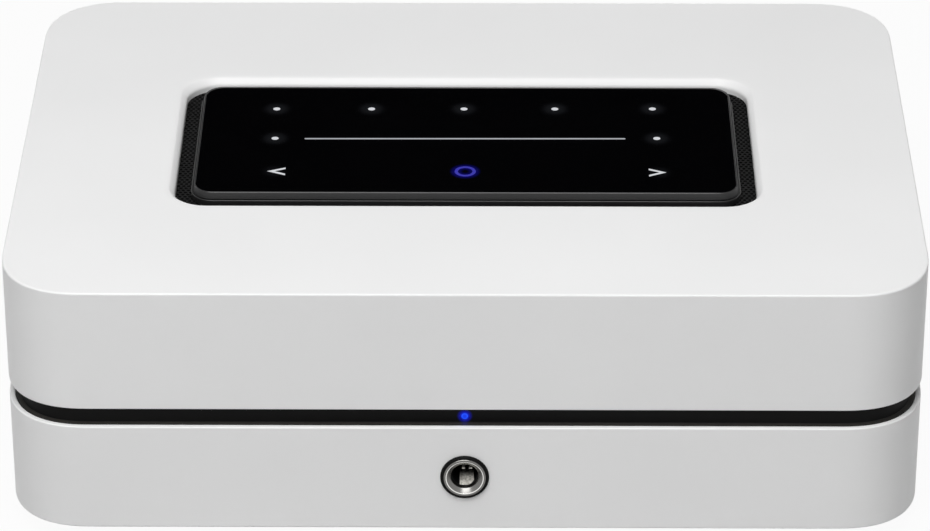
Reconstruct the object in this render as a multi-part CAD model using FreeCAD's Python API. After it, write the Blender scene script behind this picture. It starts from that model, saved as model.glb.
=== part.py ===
"""Desktop streaming amplifier: two white shells with a recessed black seam between them, a touch
panel set flush in a vented opening in the top, a headphone socket in front and the sockets and
screw-down speaker terminals behind.

Millimetres. +X is to the right seen from the front, +Y to the back, +Z up. The model is built round
the middle of the case. On export it is moved so that the origin lies under the middle of everything,
on the surface that the feet stand on.
"""

import FreeCAD, Part

import math
import os

V = FreeCAD.Vector

# Case: two shells with softened corners
case_width = 220.0
case_depth = 155.0
case_top = 70.0
foot_height = 5.0            # the gap under the lower shell
lower_rim = 33.4             # top edge of the lower shell
upper_rim = 38.4             # bottom edge of the upper shell
wall = 2.4
top_skin = 3.4
floor_skin = 2.4
corner_radius = 17.0         # the middle of each corner
corner_lead_radius = 33.0    # the gentler start and end of each corner
corner_lead_angle = 11.4
top_edge_bevel = 0.6
base_edge_bevel = 0.8
rim_edge_bevel = 0.4

# Corner columns that screw the shells together
column_inset = 14.0          # from both outer faces
column_radius = 4.5
screw_radius = 1.45
screw_clearance = 0.05
screw_head_radius = 2.7
screw_head_height = 2.0
shell_screw_head_z = 18.0
shell_screw_tip_z = 50.0
column_pilot_depth = 2.0     # how far the blind hole runs past the screw's tip

# Seam band between the shells
band_recess = 2.8            # from the outer face of the shells to the band
band_thickness = 2.2
band_tuck = 3.0              # how far the band reaches up and down inside the shells
ledge_inset = 1.3            # white rim of the lower shell outside the band's foot
ledge_height = 1.0
ledge_gap = 0.05

# Feet
foot_radius = 9.0
foot_sides = 20
foot_x = 68.0
foot_y = 50.0

# Opening in the top, its grille and the touch panel
grille_strip_x = 3.7         # from the bezel's outside to the upright wall of the opening
grille_strip_y = 4.0
grille_strip_corner = 2.4    # what the opening's corners are larger than the bezel's
window_roll = 1.9            # radius of the rolled lip
grille_thickness = 1.4
grille_flange = 6.0          # how far the grille reaches under the top
grille_slot = 2.4            # across the strip
grille_slot_width = 4.0
grille_pitch = 5.8
bezel_half_x = 67.4
bezel_half_y = 28.7
bezel_corner = 5.8
bezel_rise = 0.2             # above the top of the case
bezel_chamfer_in = 1.0
bezel_chamfer_down = 1.2
bezel_side = 0.5             # upright face under the chamfer
bezel_ledge = 0.7            # step out under that face
bezel_wall = 1.5
bezel_floor = 1.5
bezel_shoulder = 3.2         # step from the bezel's outside to its tray
bezel_depth = 10.0
glass_gap = 0.1
glass_rim = 0.1              # flat of the bezel beside the glass
glass_thickness = 1.8
tray_gap = 0.2
board_peg_height = 1.0
board_peg_size = 3.0
pcb = 1.6
pipe_gap = 0.05

# Lit signs on the touch panel, as their light pipes
sign_spread_x = 47.4
sign_row_y = 16.5
sign_dot_radius = 1.1
slider_half = 39.9
slider_width = 1.4
arrow_size = 5.4
ring_radius = 2.7

# Status light in the seam
status_rise = 1.7            # from the lower rim to the light's middle
status_lens_radius = 1.1
status_board_size = 10.0
status_board_gap = 0.2       # above the lower end of the band

# Headphone socket in the front of the lower shell
jack_z = 19.8
jack_collar_radius = 5.85
jack_collar_bevel = 0.4
jack_collar_proud = 0.8
jack_gap = 0.05
jack_nut_radius = 4.7
jack_nut_mouth = 4.35
jack_nut_hole = 3.7
jack_nut_lip = 1.4
jack_nose_radius = 4.6
jack_bore_radius = 3.25
jack_bore_length = 26.0
jack_nut_land = 0.6          # behind the lip, in front of the socket's nose
jack_sides = 20              # of its rings and nose
jack_body_width = 14.0
jack_body_height = 14.6
jack_body_length = 27.0
jack_contact_width = 1.8
jack_contact_start = 3.0     # from the socket's shoulder
jack_contact_length = 10.5
jack_contact_inner = 3.0     # from the socket's axis
jack_contact_outer = 4.6
jack_contact_play = 0.15
jack_contact_thickness = 0.5
headphone_board_gap = 2.0    # beside the two large boards
headphone_board_tail = 4.0   # behind the socket
headphone_standoff_inset = 3.0
headphone_standoff_back = 1.6     # behind the socket
board_gap = 0.3              # from a board's edge to a wall

# Steel tray and the boards on it
tray_thickness = 1.0
tray_side_gap = 25.0         # from the outside of the case
tray_front_y = -66.0
tray_tab_width = 8.0
tray_tab_inset = 8.0         # of the tab's screws, from the end of the rear panel
tray_flange_rise = 4.0       # above the foot of the rear panel
standoff_height = 5.3
standoff_radius = 2.75
board_inner_x = 14.0
board_front_y = -58.0
board_back_y = 66.0
standoff_inset = 4.0
vent_slot_width = 3.0
vent_slot_length = 26.0
vent_slot_pitch = 7.5
vent_slots = 6
vent_bank_x = 44.0
vent_slot_play = 1.0         # what the slots in the tray are larger than those in the floor

# Main board above the rear half
main_board_z = 40.0
main_board_half_x = 64.0
main_board_front_y = 2.0
shield_size = (36.0, 32.0)
shield_height = 4.0
shield_y = 34.0
main_standoff_x = 58.0
main_standoff_back_y = 50.0
main_board_gap = 0.5         # in front of the rear panel
shield_bevel = 0.8

# Power board parts
transformer_size = (36.0, 32.0, 25.0)
transformer_at = (-56.0, -16.5)
bobbin_overhang = 3.0
bobbin_length = 25.2
bobbin_foot = 3.0
core_depth = 17.6
winding_length = 22.3
winding_gap = 1.5            # from the core's foot and top to the winding
winding_bevel = 3.0
capacitor_radius = 10.0
capacitor_height = 27.0
capacitor_positions = ((-70.0, -47.0), (-46.0, -47.0))
fuse_at = (-40.0, 34.0)
fuse_length = 20.0
fuse_radius = 2.6
fuse_lift = 1.2              # under the glass
fuse_clip_width = 3.0
fuse_clip_inset = 2.5
fuse_clip_wall = 0.5

# Amplifier board parts
chip_size = 16.0
chip_height = 2.5
chip_positions = ((34.0, -32.0), (66.0, -32.0))
sink_x = (20.0, 80.0)
sink_y = (-55.0, -9.0)
sink_base = 4.0
sink_height = 34.0
fin_count = 11
fin_thickness = 1.4
coil_size = 13.0
coil_height = 11.0
coil_bevel = 1.5
coil_positions = ((28.0, 12.0), (28.0, 34.0), (68.0, 12.0), (68.0, 34.0))

# Rear panel and its sockets
panel_half_x = 88.0
panel_bottom = 10.0
panel_top = 60.0
panel_margin = 3.0           # how far the shells lap over the panel
panel_thickness = 2.0
panel_corner = 4.0
panel_screw_radius = 1.45
panel_screw_head = 2.7
panel_screw_head_height = 1.4
panel_screw_tip = 1.0        # past the tray's tab
panel_screw_z = (17.0, 53.0)
socket_gap = 0.15
socket_sides = 16            # of the round sockets' noses, collars and holes
lan_x = 50.0
lan_size = (16.0, 18.0, 13.6)
lan_opening = (11.8, 12.0, 8.2)
lan_latch = (6.2, 3.0)
lan_pins = 8
lan_pin_start = 2.0          # behind the panel's face
lan_pin_pitch = 1.02
lan_pin_width = 0.4
lan_pin_depth = 0.6
lan_pin_run = 6.0
lan_pin_drop = 2.6
usb_x = 28.0
usb_size = (13.2, 15.0, 5.8)
usb_tongue = (11.0, 10.0, 1.8)
usb_tongue_rise = 1.2
hdmi_x = 6.0
hdmi_size = (15.0, 12.0, 5.6)
hdmi_taper = 1.8
hdmi_tongue = (10.6, 8.0, 1.1)
shell_metal = 0.35
shell_back = 2.0             # back wall of the metal sockets
shell_foot_gap = 1.0         # from the panel to the foot of a metal socket
round_jack_x = (-14.0, -29.0)     # optical and analogue input, then infrared receiver
round_jack_bore = 1.8
round_jack_nose = 3.0
round_jack_size = (8.0, 14.0, 7.0)
round_jack_bore_length = 13.0
round_jack_proud = 0.6
sub_x = -48.0
sub_body = (11.0, 12.0, 13.0)
sub_barrel_radius = 4.15
sub_barrel_length = 8.5
sub_barrel_wall = 0.5
sub_neck_radius = 4.75
sub_ring_radius = 5.4
sub_ring_proud = 1.2
sub_core_short = 0.8         # the insulator ends inside the barrel
sub_pin_bore = 1.65
sub_pin_length = 16.0
inlet_x = -60.0
inlet_size = (22.0, 22.0, 15.6)
inlet_lobe_radius = 4.4
inlet_pin_pitch = 8.6
inlet_pin_radius = 1.2
inlet_pin_length = 9.0
inlet_recess = 12.0
inlet_waist = 7.0

# Screw-down speaker terminals, right channel then left
post_x = {"right_minus": 8.0, "right_plus": 27.0, "left_minus": 49.0, "left_plus": 68.0}
post_z = 22.5
post_base_radius = 6.6
post_base_sides = 12
post_base_height = 2.6
post_shank_radius = 4.2
post_stud_radius = 2.95
post_tail_radius = 3.15      # eight-sided, inside the bush
post_bore_radius = 2.05
post_bore_length = 15.0
post_seat_radius = 5.4
post_seat_height = 1.5
post_stud_length = 19.0      # from the panel's outer face
post_wire_slot = 2.6
post_wire_gap = 1.3          # from the seat to the wire slot
post_inside = 8.0
post_shank_proud = 1.0       # past the inner face of the panel
post_nut_radius = 4.6
post_nut_height = 3.0
washer_thickness = 1.2
washer_radius = 5.0
washer_hole = 3.3            # eight-sided, clear of the round stud
cap_gap = 0.05
cap_radius = 6.2
cap_end = 1.4
cap_end_hole = 2.6
cap_flutes = 12
cap_flute_depth = 0.5
cap_tip_gap = 0.2            # between the stud's end and the cap's end, when closed

# Antennas and internal leads
antenna_size = (0.8, 36.0, 9.0)
antenna_y = -8.0
antenna_z = 52.0
antenna_lead_run = 16.0      # straight run beside the aerial
antenna_lead_slant = 18.0
antenna_lead_drop = 1.0
antenna_lead_inset = 6.0     # from the can's side
lead_radius = 0.65
lead_pitch = 4.0
lead_inset = 3.0             # from a board's edge, or beside a socket
lead_arch = 9.0              # how high the leads rise over the boards, and hang under the main board
lead_middle = 2.0            # from the middle of the case
lead_step = 8.0              # slant of a lead that hangs between two boards
supply_lead_y = -30.0
signal_lead_y = 10.0
status_lead_run = 7.0
status_lead_drop = 6.0
ribbon_width = 12.0
ribbon_thickness = 0.35
ribbon_slot = 2.0            # in the floor of the touch panel's tray
ribbon_play = 1.0            # at each side of the ribbon in its slot
ribbon_inset = 5.0           # from the tray's back wall
ribbon_drop = 7.0            # straight run at each end
ribbon_step = 8.0            # slant between them

# Values that follow from the sizes above
half_x = case_width / 2
half_y = case_depth / 2
tray_half_x = half_x - tray_side_gap
board_outer_x = tray_half_x
tray_tab_x = panel_half_x - tray_tab_inset
window_half_x = bezel_half_x + grille_strip_x
window_half_y = bezel_half_y + grille_strip_y
window_corner = bezel_corner + grille_strip_corner
cavity_floor = foot_height + floor_skin
cavity_top = case_top - top_skin
column_x = half_x - column_inset
column_y = half_y - column_inset
panel_face = half_y - wall                   # outer face of the rear panel
panel_back = panel_face - panel_thickness
tray_top = cavity_floor + tray_thickness
board_z = tray_top + standoff_height
board_top = board_z + pcb
main_top = main_board_z + pcb
shield_top = main_top + shield_height
grille_top = cavity_top
grille_bottom = grille_top - grille_thickness
bezel_top = case_top + bezel_rise
tray_bottom = bezel_top - bezel_depth
glass_half_x = bezel_half_x - bezel_chamfer_in - glass_rim - glass_gap
glass_half_y = bezel_half_y - bezel_chamfer_in - glass_rim - glass_gap
glass_corner = bezel_corner - bezel_chamfer_in - glass_rim - glass_gap
glass_seat = bezel_top - glass_thickness
tray_half_in_x = bezel_half_x - bezel_shoulder - bezel_wall
tray_half_in_y = bezel_half_y - bezel_shoulder - bezel_wall
touch_floor = tray_bottom + bezel_floor
touch_board_z = touch_floor + board_peg_height
touch_board_top = touch_board_z + pcb
sink_z = board_top + chip_height
post_seat = panel_face + post_base_height    # where the stud's collar starts
washer_start = post_seat + post_seat_height
cap_start = washer_start + washer_thickness
stud_end = panel_face + post_stud_length
cap_finish = stud_end + cap_tip_gap + cap_end
front_reach = half_y + jack_collar_proud
jack_nose_front = jack_nut_lip + jack_nut_land - front_reach
jack_shoulder = -half_y + wall               # inner face of the front wall
jack_back = jack_shoulder + jack_body_length
screw_hole = screw_radius + screw_clearance
panel_screw_hole = panel_screw_radius + screw_clearance
tray_flange_top = panel_bottom + tray_flange_rise
status_z = lower_rim + status_rise
sub_end = panel_face + sub_ring_proud + sub_barrel_length - sub_core_short
origin_y = (cap_finish - front_reach) / 2    # middle of the whole thing, seen from above

parts = {}


# Shapes that several pieces share

def block(x0, x1, y0, y1, z0, z1):
    return Part.makeBox(x1 - x0, y1 - y0, z1 - z0, V(x0, y0, z0))


def block_at(centre_x, centre_y, size_x, size_y, z0, z1):
    return block(centre_x - size_x / 2, centre_x + size_x / 2, centre_y - size_y / 2,
                 centre_y + size_y / 2, z0, z1)


def block_y(x, z, width, height, y0, y1):
    """A block centred on (x, z), from y0 back to y1."""
    return block(x - width / 2, x + width / 2, y0, y1, z - height / 2, z + height / 2)


def upright_edges(shape, length):
    return [edge for edge in shape.Edges if abs(edge.BoundBox.ZLength - length) < 1e-6]


def peg_z(x, y, radius, z0, z1, sides=8):
    """An upright rod with flat sides, as small screws, their holes and spacers have here."""
    return Part.Face(Part.makePolygon(corners_round(radius, sides, V(x, y, z0)))).extrude(V(0, 0, z1 - z0))


def peg_y(x, z, radius, y0, y1, sides=8):
    return upright(Part.makePolygon(corners_round(radius, sides, V(0, 0, 0))), x, z, y0, y1)


def corners_round(radius, sides, middle):
    """The closed ring of corners of a regular figure, with a flat side down."""
    turn = 2 * math.pi / sides
    return [middle + V(math.sin(turn * (k + 0.5)), -math.cos(turn * (k + 0.5)), 0) * radius
            for k in range(sides + 1)]


def rod_y(x, z, radius, y0, y1):
    return Part.makeCylinder(radius, y1 - y0, V(x, y0, z), V(0, 1, 0))


def outline(half_a, half_b, bends, z=0.0):
    """A closed wire at height z: a rectangle whose corners turn through bends of (radius, degrees)."""
    heading, reach = 0.0, 0.0
    for radius, degrees in bends:
        turned = heading + math.radians(degrees)
        reach += radius * (math.sin(turned) - math.sin(heading))
        heading = turned
    edges = []
    here, heading = V(-half_a + reach, -half_b, z), 0.0
    sides = (2 * (half_a - reach), 2 * (half_b - reach)) * 2
    for side in sides:
        end = here + V(math.cos(heading), math.sin(heading), 0) * side
        edges.append(Part.LineSegment(here, end).toShape())
        here = end
        for radius, degrees in bends:
            centre = here + V(-math.sin(heading), math.cos(heading), 0) * radius
            middle, turned = heading + math.radians(degrees) / 2, heading + math.radians(degrees)
            halfway = centre + V(math.sin(middle), -math.cos(middle), 0) * radius
            end = centre + V(math.sin(turned), -math.cos(turned), 0) * radius
            edges.append(Part.Arc(here, halfway, end).toShape())
            here, heading = end, turned
    return Part.Wire(edges)


def case_bends(inset):
    """The case's corner, moved inwards: a gentle bend, a tight one and a gentle one."""
    lead = corner_lead_radius - inset
    return ((lead, corner_lead_angle), (corner_radius - inset, 90 - 2 * corner_lead_angle),
            (lead, corner_lead_angle))


def case_prism(inset, z0, z1):
    wire = outline(half_x - inset, half_y - inset, case_bends(inset), z0)
    return Part.Face(wire).extrude(V(0, 0, z1 - z0))


def round_prism(half_a, half_b, corner, z0, z1):
    """An upright block with rounded corners, centred on the case."""
    return Part.Face(outline(half_a, half_b, ((corner, 90),), z0)).extrude(V(0, 0, z1 - z0))


def upright(wire, x, z, y0, y1):
    """A flat wire stood up to face the back at (x, z), and made solid from y0 to y1."""
    face = Part.Face(wire)
    face.rotate(V(0, 0, 0), V(1, 0, 0), 90)
    face.translate(V(x, y0, z))
    return face.extrude(V(0, y1 - y0, 0))


def edges_at(shape, z):
    """Level edges at height z."""
    return [edge for edge in shape.Edges
            if abs(edge.BoundBox.ZMin - z) < 1e-4 and abs(edge.BoundBox.ZMax - z) < 1e-4]


def four_corners(x, y):
    return [(sx * x, sy * y) for sx in (-1, 1) for sy in (-1, 1)]


def panel_opening(grow, y0, y1):
    """The opening that the two shells leave for the rear panel, grown all round by grow."""
    wire = outline(panel_half_x - panel_margin + grow,
                   (panel_top - panel_bottom) / 2 - panel_margin + grow, ((panel_corner + grow, 90),))
    return upright(wire, 0, (panel_top + panel_bottom) / 2, y0, y1)


# Shells, seam band and feet

def make_upper_shell():
    shell = case_prism(0, upper_rim, case_top)
    shell = shell.makeChamfer(top_edge_bevel, edges_at(shell, case_top))
    shell = shell.makeChamfer(rim_edge_bevel, edges_at(shell, upper_rim))
    corners = four_corners(column_x, column_y)
    columns = [peg_z(x, y, column_radius, upper_rim, cavity_top) for x, y in corners]
    shell = shell.cut(case_prism(wall, upper_rim, cavity_top)).fuse(columns)
    pilots = [peg_z(x, y, screw_hole, upper_rim, shell_screw_tip_z + column_pilot_depth) for x, y in corners]
    return shell.cut(pilots + [window_with_lip(), panel_opening(0, 0, half_y)])


def window_with_lip():
    """The space of the opening in the top: straight below, and widening over the rolled lip."""
    bands = 3
    sections = [outline(window_half_x, window_half_y, ((window_corner, 90),), cavity_top)]
    for k in range(bands + 1):
        angle = k * math.pi / 2 / bands
        grow, z = window_roll * (1 - math.cos(angle)), case_top - window_roll * (1 - math.sin(angle))
        corner = window_corner + grow
        sections.append(outline(window_half_x + grow, window_half_y + grow, ((corner, 90),), z))
    return Part.makeLoft(sections, True, True)


def vent_slots_through(z0, z1, grow=0.0):
    """Two banks of air slots under the boards."""
    slots = []
    for side in (-1, 1):
        for k in range(vent_slots):
            x = side * vent_bank_x + (k - (vent_slots - 1) / 2) * vent_slot_pitch
            slots.append(block_at(x, 0, vent_slot_width + grow, vent_slot_length + grow, z0, z1))
    return slots


def make_lower_shell():
    shell = case_prism(0, foot_height, lower_rim)
    shell = shell.makeChamfer(base_edge_bevel, edges_at(shell, foot_height))
    shell = shell.makeChamfer(rim_edge_bevel, edges_at(shell, lower_rim))
    shell = shell.cut([case_prism(wall, cavity_floor, lower_rim),
                       case_prism(ledge_inset, lower_rim - ledge_height, lower_rim)])
    corners = four_corners(column_x, column_y)
    column_top, neck = lower_rim - ledge_height, shell_screw_head_z + screw_head_height
    shell = shell.fuse([peg_z(x, y, column_radius, cavity_floor, column_top) for x, y in corners])
    cuts = [peg_z(x, y, screw_hole, foot_height, lower_rim) for x, y in corners]
    cuts += [peg_z(x, y, screw_head_radius + screw_clearance, foot_height, neck) for x, y in corners]
    cuts.append(panel_opening(0, 0, half_y))
    cuts.append(peg_y(0, jack_z, jack_nut_radius + jack_gap, -half_y, jack_shoulder, jack_sides))
    return shell.cut(cuts + vent_slots_through(foot_height, cavity_floor))


def make_seam_band():
    """The recessed black band, with a foot behind the white rim and a pad round each long screw."""
    inner, top = band_recess + band_thickness, upper_rim + band_tuck
    band = case_prism(band_recess, lower_rim - band_tuck, top)
    band = band.fuse(case_prism(ledge_inset + ledge_gap, lower_rim - ledge_height, lower_rim))
    band = band.cut(case_prism(inner, lower_rim - band_tuck, top))
    corners = four_corners(column_x, column_y)
    reach = column_inset + column_radius - band_recess - band_thickness / 2
    pads = [block_at(x + math.copysign(reach / 2 - column_radius, x), y, reach, 2 * column_radius,
                     lower_rim - ledge_height, upper_rim) for x, y in corners]
    trim = case_prism(band_recess + band_thickness / 2, lower_rim - ledge_height, upper_rim)
    band = band.fuse([pad.common(trim) for pad in pads])
    clear = panel_half_x + 2 * socket_gap
    cuts = [peg_z(x, y, screw_hole, lower_rim - ledge_height, upper_rim) for x, y in corners]
    cuts.append(block(-clear, clear, 0, half_y, lower_rim - band_tuck, top))
    cuts.append(peg_y(0, status_z, status_lens_radius + 2 * pipe_gap, -half_y, -half_y + inner))
    return band.cut(cuts)


def make_feet():
    places = four_corners(foot_x, foot_y)
    return [peg_z(x, y, foot_radius, 0, foot_height, sides=foot_sides) for x, y in places]


def make_shell_screws():
    screws = []
    for x, y in four_corners(column_x, column_y):
        neck = shell_screw_head_z + screw_head_height
        head = peg_z(x, y, screw_head_radius, shell_screw_head_z, neck)
        screws.append(head.fuse(peg_z(x, y, screw_radius, neck, shell_screw_tip_z)))
    return screws


# Opening in the top: grille, bezel, glass and what lights the signs

def grille_slot_wires(z):
    """Slots across the strip that shows between the opening's wall and the bezel's ledge."""
    middle_x = (window_half_x + bezel_half_x + bezel_ledge) / 2
    middle_y = (window_half_y + bezel_half_y + bezel_ledge) / 2
    middle_corner = (window_corner + bezel_corner + bezel_ledge) / 2
    path = outline(middle_x, middle_y, ((middle_corner, 90),), z)
    count = int(path.Length / grille_pitch)
    wires = []
    for k in range(count):
        point, along = place_along(path, k / count)
        across = V(-along.y, along.x, 0) * (grille_slot / 2)
        along = along * (grille_slot_width / 2)
        ring = [point + along * a + across * b for a, b in ((-1, -1), (1, -1), (1, 1), (-1, 1))]
        wires.append(Part.makePolygon(ring + ring[:1]))
    return wires


def place_along(wire, share):
    """The point and direction at a share of a wire's length."""
    wanted = share * wire.Length
    for edge in wire.OrderedEdges:
        if wanted <= edge.Length:
            spot = edge.getParameterByLength(wanted)
            return edge.valueAt(spot), edge.tangentAt(spot)
        wanted -= edge.Length
    edge = wire.OrderedEdges[-1]
    return edge.valueAt(edge.LastParameter), edge.tangentAt(edge.LastParameter)


def make_vent_grille():
    reach = grille_flange
    outer = outline(window_half_x + reach, window_half_y + reach, ((window_corner, 90),), grille_bottom)
    tray_x, tray_y = bezel_half_x - bezel_shoulder + tray_gap, bezel_half_y - bezel_shoulder + tray_gap
    inner = block_at(0, 0, 2 * tray_x, 2 * tray_y, grille_bottom, grille_top)
    plate = Part.makeFace([outer] + grille_slot_wires(grille_bottom), "Part::FaceMakerBullseye")
    return plate.extrude(V(0, 0, grille_thickness)).cut(inner)


def make_touch_bezel():
    """The black frame round the glass, with the tray that hangs through the grille and holds the board."""
    slope_foot, ledge = bezel_top - bezel_chamfer_down, bezel_top - bezel_chamfer_down - bezel_side
    wide_x, wide_y, wide_corner = (size + bezel_ledge for size in (bezel_half_x, bezel_half_y, bezel_corner))
    foot = round_prism(wide_x, wide_y, wide_corner, grille_top, ledge)
    frame = round_prism(bezel_half_x, bezel_half_y, bezel_corner, ledge, bezel_top)
    frame = frame.cut(frame_slope(slope_foot))
    tray = block_at(0, 0, 2 * (bezel_half_x - bezel_shoulder), 2 * (bezel_half_y - bezel_shoulder),
                    tray_bottom, grille_top)
    seat = round_prism(glass_half_x + glass_gap, glass_half_y + glass_gap, glass_corner + glass_gap,
                       glass_seat, bezel_top)
    hollow = block_at(0, 0, 2 * tray_half_in_x, 2 * tray_half_in_y, touch_floor, bezel_top)
    slot = block_at(0, ribbon_y(), ribbon_width + 2 * ribbon_play, ribbon_slot, tray_bottom, touch_floor)
    inset = board_peg_size
    pegs = [block_at(x, y, board_peg_size, board_peg_size, touch_floor, touch_board_z)
            for x, y in four_corners(tray_half_in_x - inset, tray_half_in_y - inset)]
    return foot.fuse([frame, tray]).cut([seat, hollow, slot]).fuse(pegs).removeSplitter()


def frame_slope(foot):
    """What the bezel's sloping edge takes away."""
    blank = round_prism(bezel_half_x, bezel_half_y, bezel_corner, foot, bezel_top)
    kept = Part.makeLoft([
        outline(bezel_half_x, bezel_half_y, ((bezel_corner, 90),), foot),
        outline(bezel_half_x - bezel_chamfer_in, bezel_half_y - bezel_chamfer_in,
                ((bezel_corner - bezel_chamfer_in, 90),), bezel_top)], True, True)
    return blank.cut(kept)


def make_touch_glass():
    return round_prism(glass_half_x, glass_half_y, glass_corner, glass_seat, bezel_top)


def make_touch_board():
    return block_at(0, 0, 2 * (tray_half_in_x - tray_gap), 2 * (tray_half_in_y - tray_gap),
                    touch_board_z, touch_board_top)


def sign_wires(grow, z):
    """Outlines of the lit signs: five dots above, a slider between two dots, two arrows and a ring."""
    dots = [(k * sign_spread_x / 2, sign_row_y, sign_dot_radius) for k in range(-2, 3)]
    dots += [(-sign_spread_x, 0, sign_dot_radius), (sign_spread_x, 0, sign_dot_radius)]
    dots.append((0, -sign_row_y, ring_radius))
    wires = [Part.makePolygon(corners_round(radius + grow, 8, V(x, y, z))) for x, y, radius in dots]
    half = arrow_size / 2 + grow
    for side in (-1, 1):
        x, y = side * sign_spread_x, -sign_row_y
        flat_x = x - side * half
        points = [V(x + side * half, y, z), V(flat_x, y + half, z), V(flat_x, y - half, z)]
        wires.append(Part.makePolygon(points + points[:1]))
    long, wide = slider_half + grow, slider_width / 2 + grow
    bar = [V(-long, -wide, z), V(long, -wide, z), V(long, wide, z), V(-long, wide, z)]
    wires.append(Part.makePolygon(bar + bar[:1]))
    return wires


def make_light_pipes():
    height = glass_seat - touch_board_top
    return [Part.Face(wire).extrude(V(0, 0, height)) for wire in sign_wires(0.0, touch_board_top)]


def make_light_mask():
    """The black block that keeps each sign's light to itself."""
    bottom = touch_board_top
    mask = block_at(0, 0, 2 * (tray_half_in_x - 2 * tray_gap), 2 * (tray_half_in_y - 2 * tray_gap),
                    bottom, glass_seat)
    holes = [Part.Face(wire).extrude(V(0, 0, glass_seat - bottom)) for wire in sign_wires(pipe_gap, bottom)]
    return mask.cut(holes)


# Status light and headphone socket in the front

def make_status_lens():
    front = -half_y + band_recess
    return peg_y(0, status_z, status_lens_radius, front, front + band_thickness)


def make_status_board():
    y = -half_y + band_recess + band_thickness
    half, low = status_board_size / 2, lower_rim - band_tuck + status_board_gap
    return block(-half, half, y, y + pcb, low, upper_rim + band_tuck)


def make_jack_collar():
    """The black ring that lies on the face of the case round the bright one."""
    front = -half_y - jack_collar_proud
    ring = peg_y(0, jack_z, jack_collar_radius, front, -half_y, jack_sides)
    rim = [edge for edge in ring.Edges if abs(edge.BoundBox.YMax - front) < 1e-4]
    ring = ring.makeChamfer(jack_collar_bevel, rim)
    return ring.cut(peg_y(0, jack_z, jack_nut_radius + jack_gap, front, -half_y, jack_sides))


def make_jack_nut():
    """The bright ring: a cone inwards from its edge to a lip."""
    front = -half_y - jack_collar_proud
    nut = peg_y(0, jack_z, jack_nut_radius, front, jack_nose_front, jack_sides)
    rings = [Part.makePolygon(corners_round(radius, jack_sides, V(0, 0, -depth)))
             for radius, depth in ((jack_nut_mouth, 0), (jack_nut_hole, jack_nut_lip))]
    mouth = Part.makeLoft(rings, True, True)
    mouth.rotate(V(0, 0, 0), V(1, 0, 0), 90)
    mouth.translate(V(0, front, jack_z))
    return nut.cut([mouth, peg_y(0, jack_z, jack_nut_hole, front, jack_nose_front, jack_sides)])


def make_jack_body():
    """The socket: a threaded nose in the nut, a block behind the wall and a slot for each leaf."""
    nose = peg_y(0, jack_z, jack_nose_radius, jack_nose_front, jack_shoulder, jack_sides)
    body = block_y(0, jack_z, jack_body_width, jack_body_height, jack_shoulder,
                   jack_shoulder + jack_body_length)
    bore = rod_y(0, jack_z, jack_bore_radius, jack_nose_front, jack_nose_front + jack_bore_length)
    slots = [leaf_block(jack_contact_inner, jack_contact_outer, side) for side in (-1, 1)]
    return nose.fuse(body).cut([bore] + slots)


def leaf_block(near, far, side):
    """A block over or under the bore, between two distances from its axis."""
    heights = sorted((jack_z + side * near, jack_z + side * far))
    middle = jack_shoulder + jack_contact_start + jack_contact_length / 2
    return block_at(0, middle, jack_contact_width, jack_contact_length, *heights)


def board_z_low():
    """Height of the small board under the headphone socket."""
    return jack_z - jack_body_height / 2 - pcb


def make_jack_contacts():
    """Two leaf springs, one above and one below the plug, in their slots in the socket's wall."""
    near = jack_bore_radius + jack_contact_play
    return [leaf_block(near, near + jack_contact_thickness, side) for side in (-1, 1)]


def make_headphone_board():
    half = board_inner_x - headphone_board_gap
    return block(-half, half, jack_shoulder + board_gap, jack_back + headphone_board_tail, board_z_low(),
                 board_z_low() + pcb)


# Steel tray, boards and what stands on them

def standoff_places():
    """The four corners of both lower boards."""
    xs = (board_inner_x + standoff_inset, board_outer_x - standoff_inset)
    ys = (board_front_y + standoff_inset, board_back_y - standoff_inset)
    return [(side * x, y) for side in (-1, 1) for x in xs for y in ys]


def main_standoff_places():
    ys = (main_board_front_y + standoff_inset, main_standoff_back_y)
    return [(side * main_standoff_x, y) for side in (-1, 1) for y in ys]


def headphone_standoff_places():
    x = board_inner_x - headphone_board_gap - headphone_standoff_inset
    return [(side * x, jack_back + headphone_standoff_back) for side in (-1, 1)]


def make_chassis_tray():
    """A folded steel pan: a low flange along the back, and a tall tab at each end of the rear panel."""
    pan = block(-tray_half_x, tray_half_x, tray_front_y, panel_back, cavity_floor, tray_top)
    fold = panel_back - tray_thickness
    flange = block(-tray_half_x, tray_half_x, fold, panel_back, cavity_floor, tray_flange_top)
    near, far = tray_half_x - tray_tab_width, tray_tab_x + tray_tab_width / 2
    tab_top = panel_top - panel_margin
    tabs = [block(near, far, fold, panel_back, cavity_floor, tab_top),
            block(-far, -near, fold, panel_back, cavity_floor, tab_top)]
    tray = pan.fuse([flange] + tabs).removeSplitter()
    holes = [peg_y(x, z, panel_screw_hole, fold, panel_back) for x, z in panel_screws_xz()]
    return tray.cut(holes + vent_slots_through(cavity_floor, tray_top, vent_slot_play))


def panel_screws_xz():
    return [(side * tray_tab_x, z) for side in (-1, 1) for z in panel_screw_z]


def make_standoffs():
    """Six-sided spacers between tray and boards, and tall ones that carry the main board."""
    spacers = [(x, y, tray_top, board_z) for x, y in standoff_places()]
    spacers += [(x, y, board_top, main_board_z) for x, y in main_standoff_places()]
    spacers += [(x, y, tray_top, board_z_low()) for x, y in headphone_standoff_places()]
    return [peg_z(x, y, standoff_radius, z0, z1, sides=6) for x, y, z0, z1 in spacers]


def make_power_board():
    return block(-board_outer_x, -board_inner_x, board_front_y, board_back_y, board_z, board_top)


def make_amp_board():
    return block(board_inner_x, board_outer_x, board_front_y, board_back_y, board_z, board_top)


def make_main_board():
    return block(-main_board_half_x, main_board_half_x, main_board_front_y, panel_back - main_board_gap,
                 main_board_z, main_top)


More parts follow.
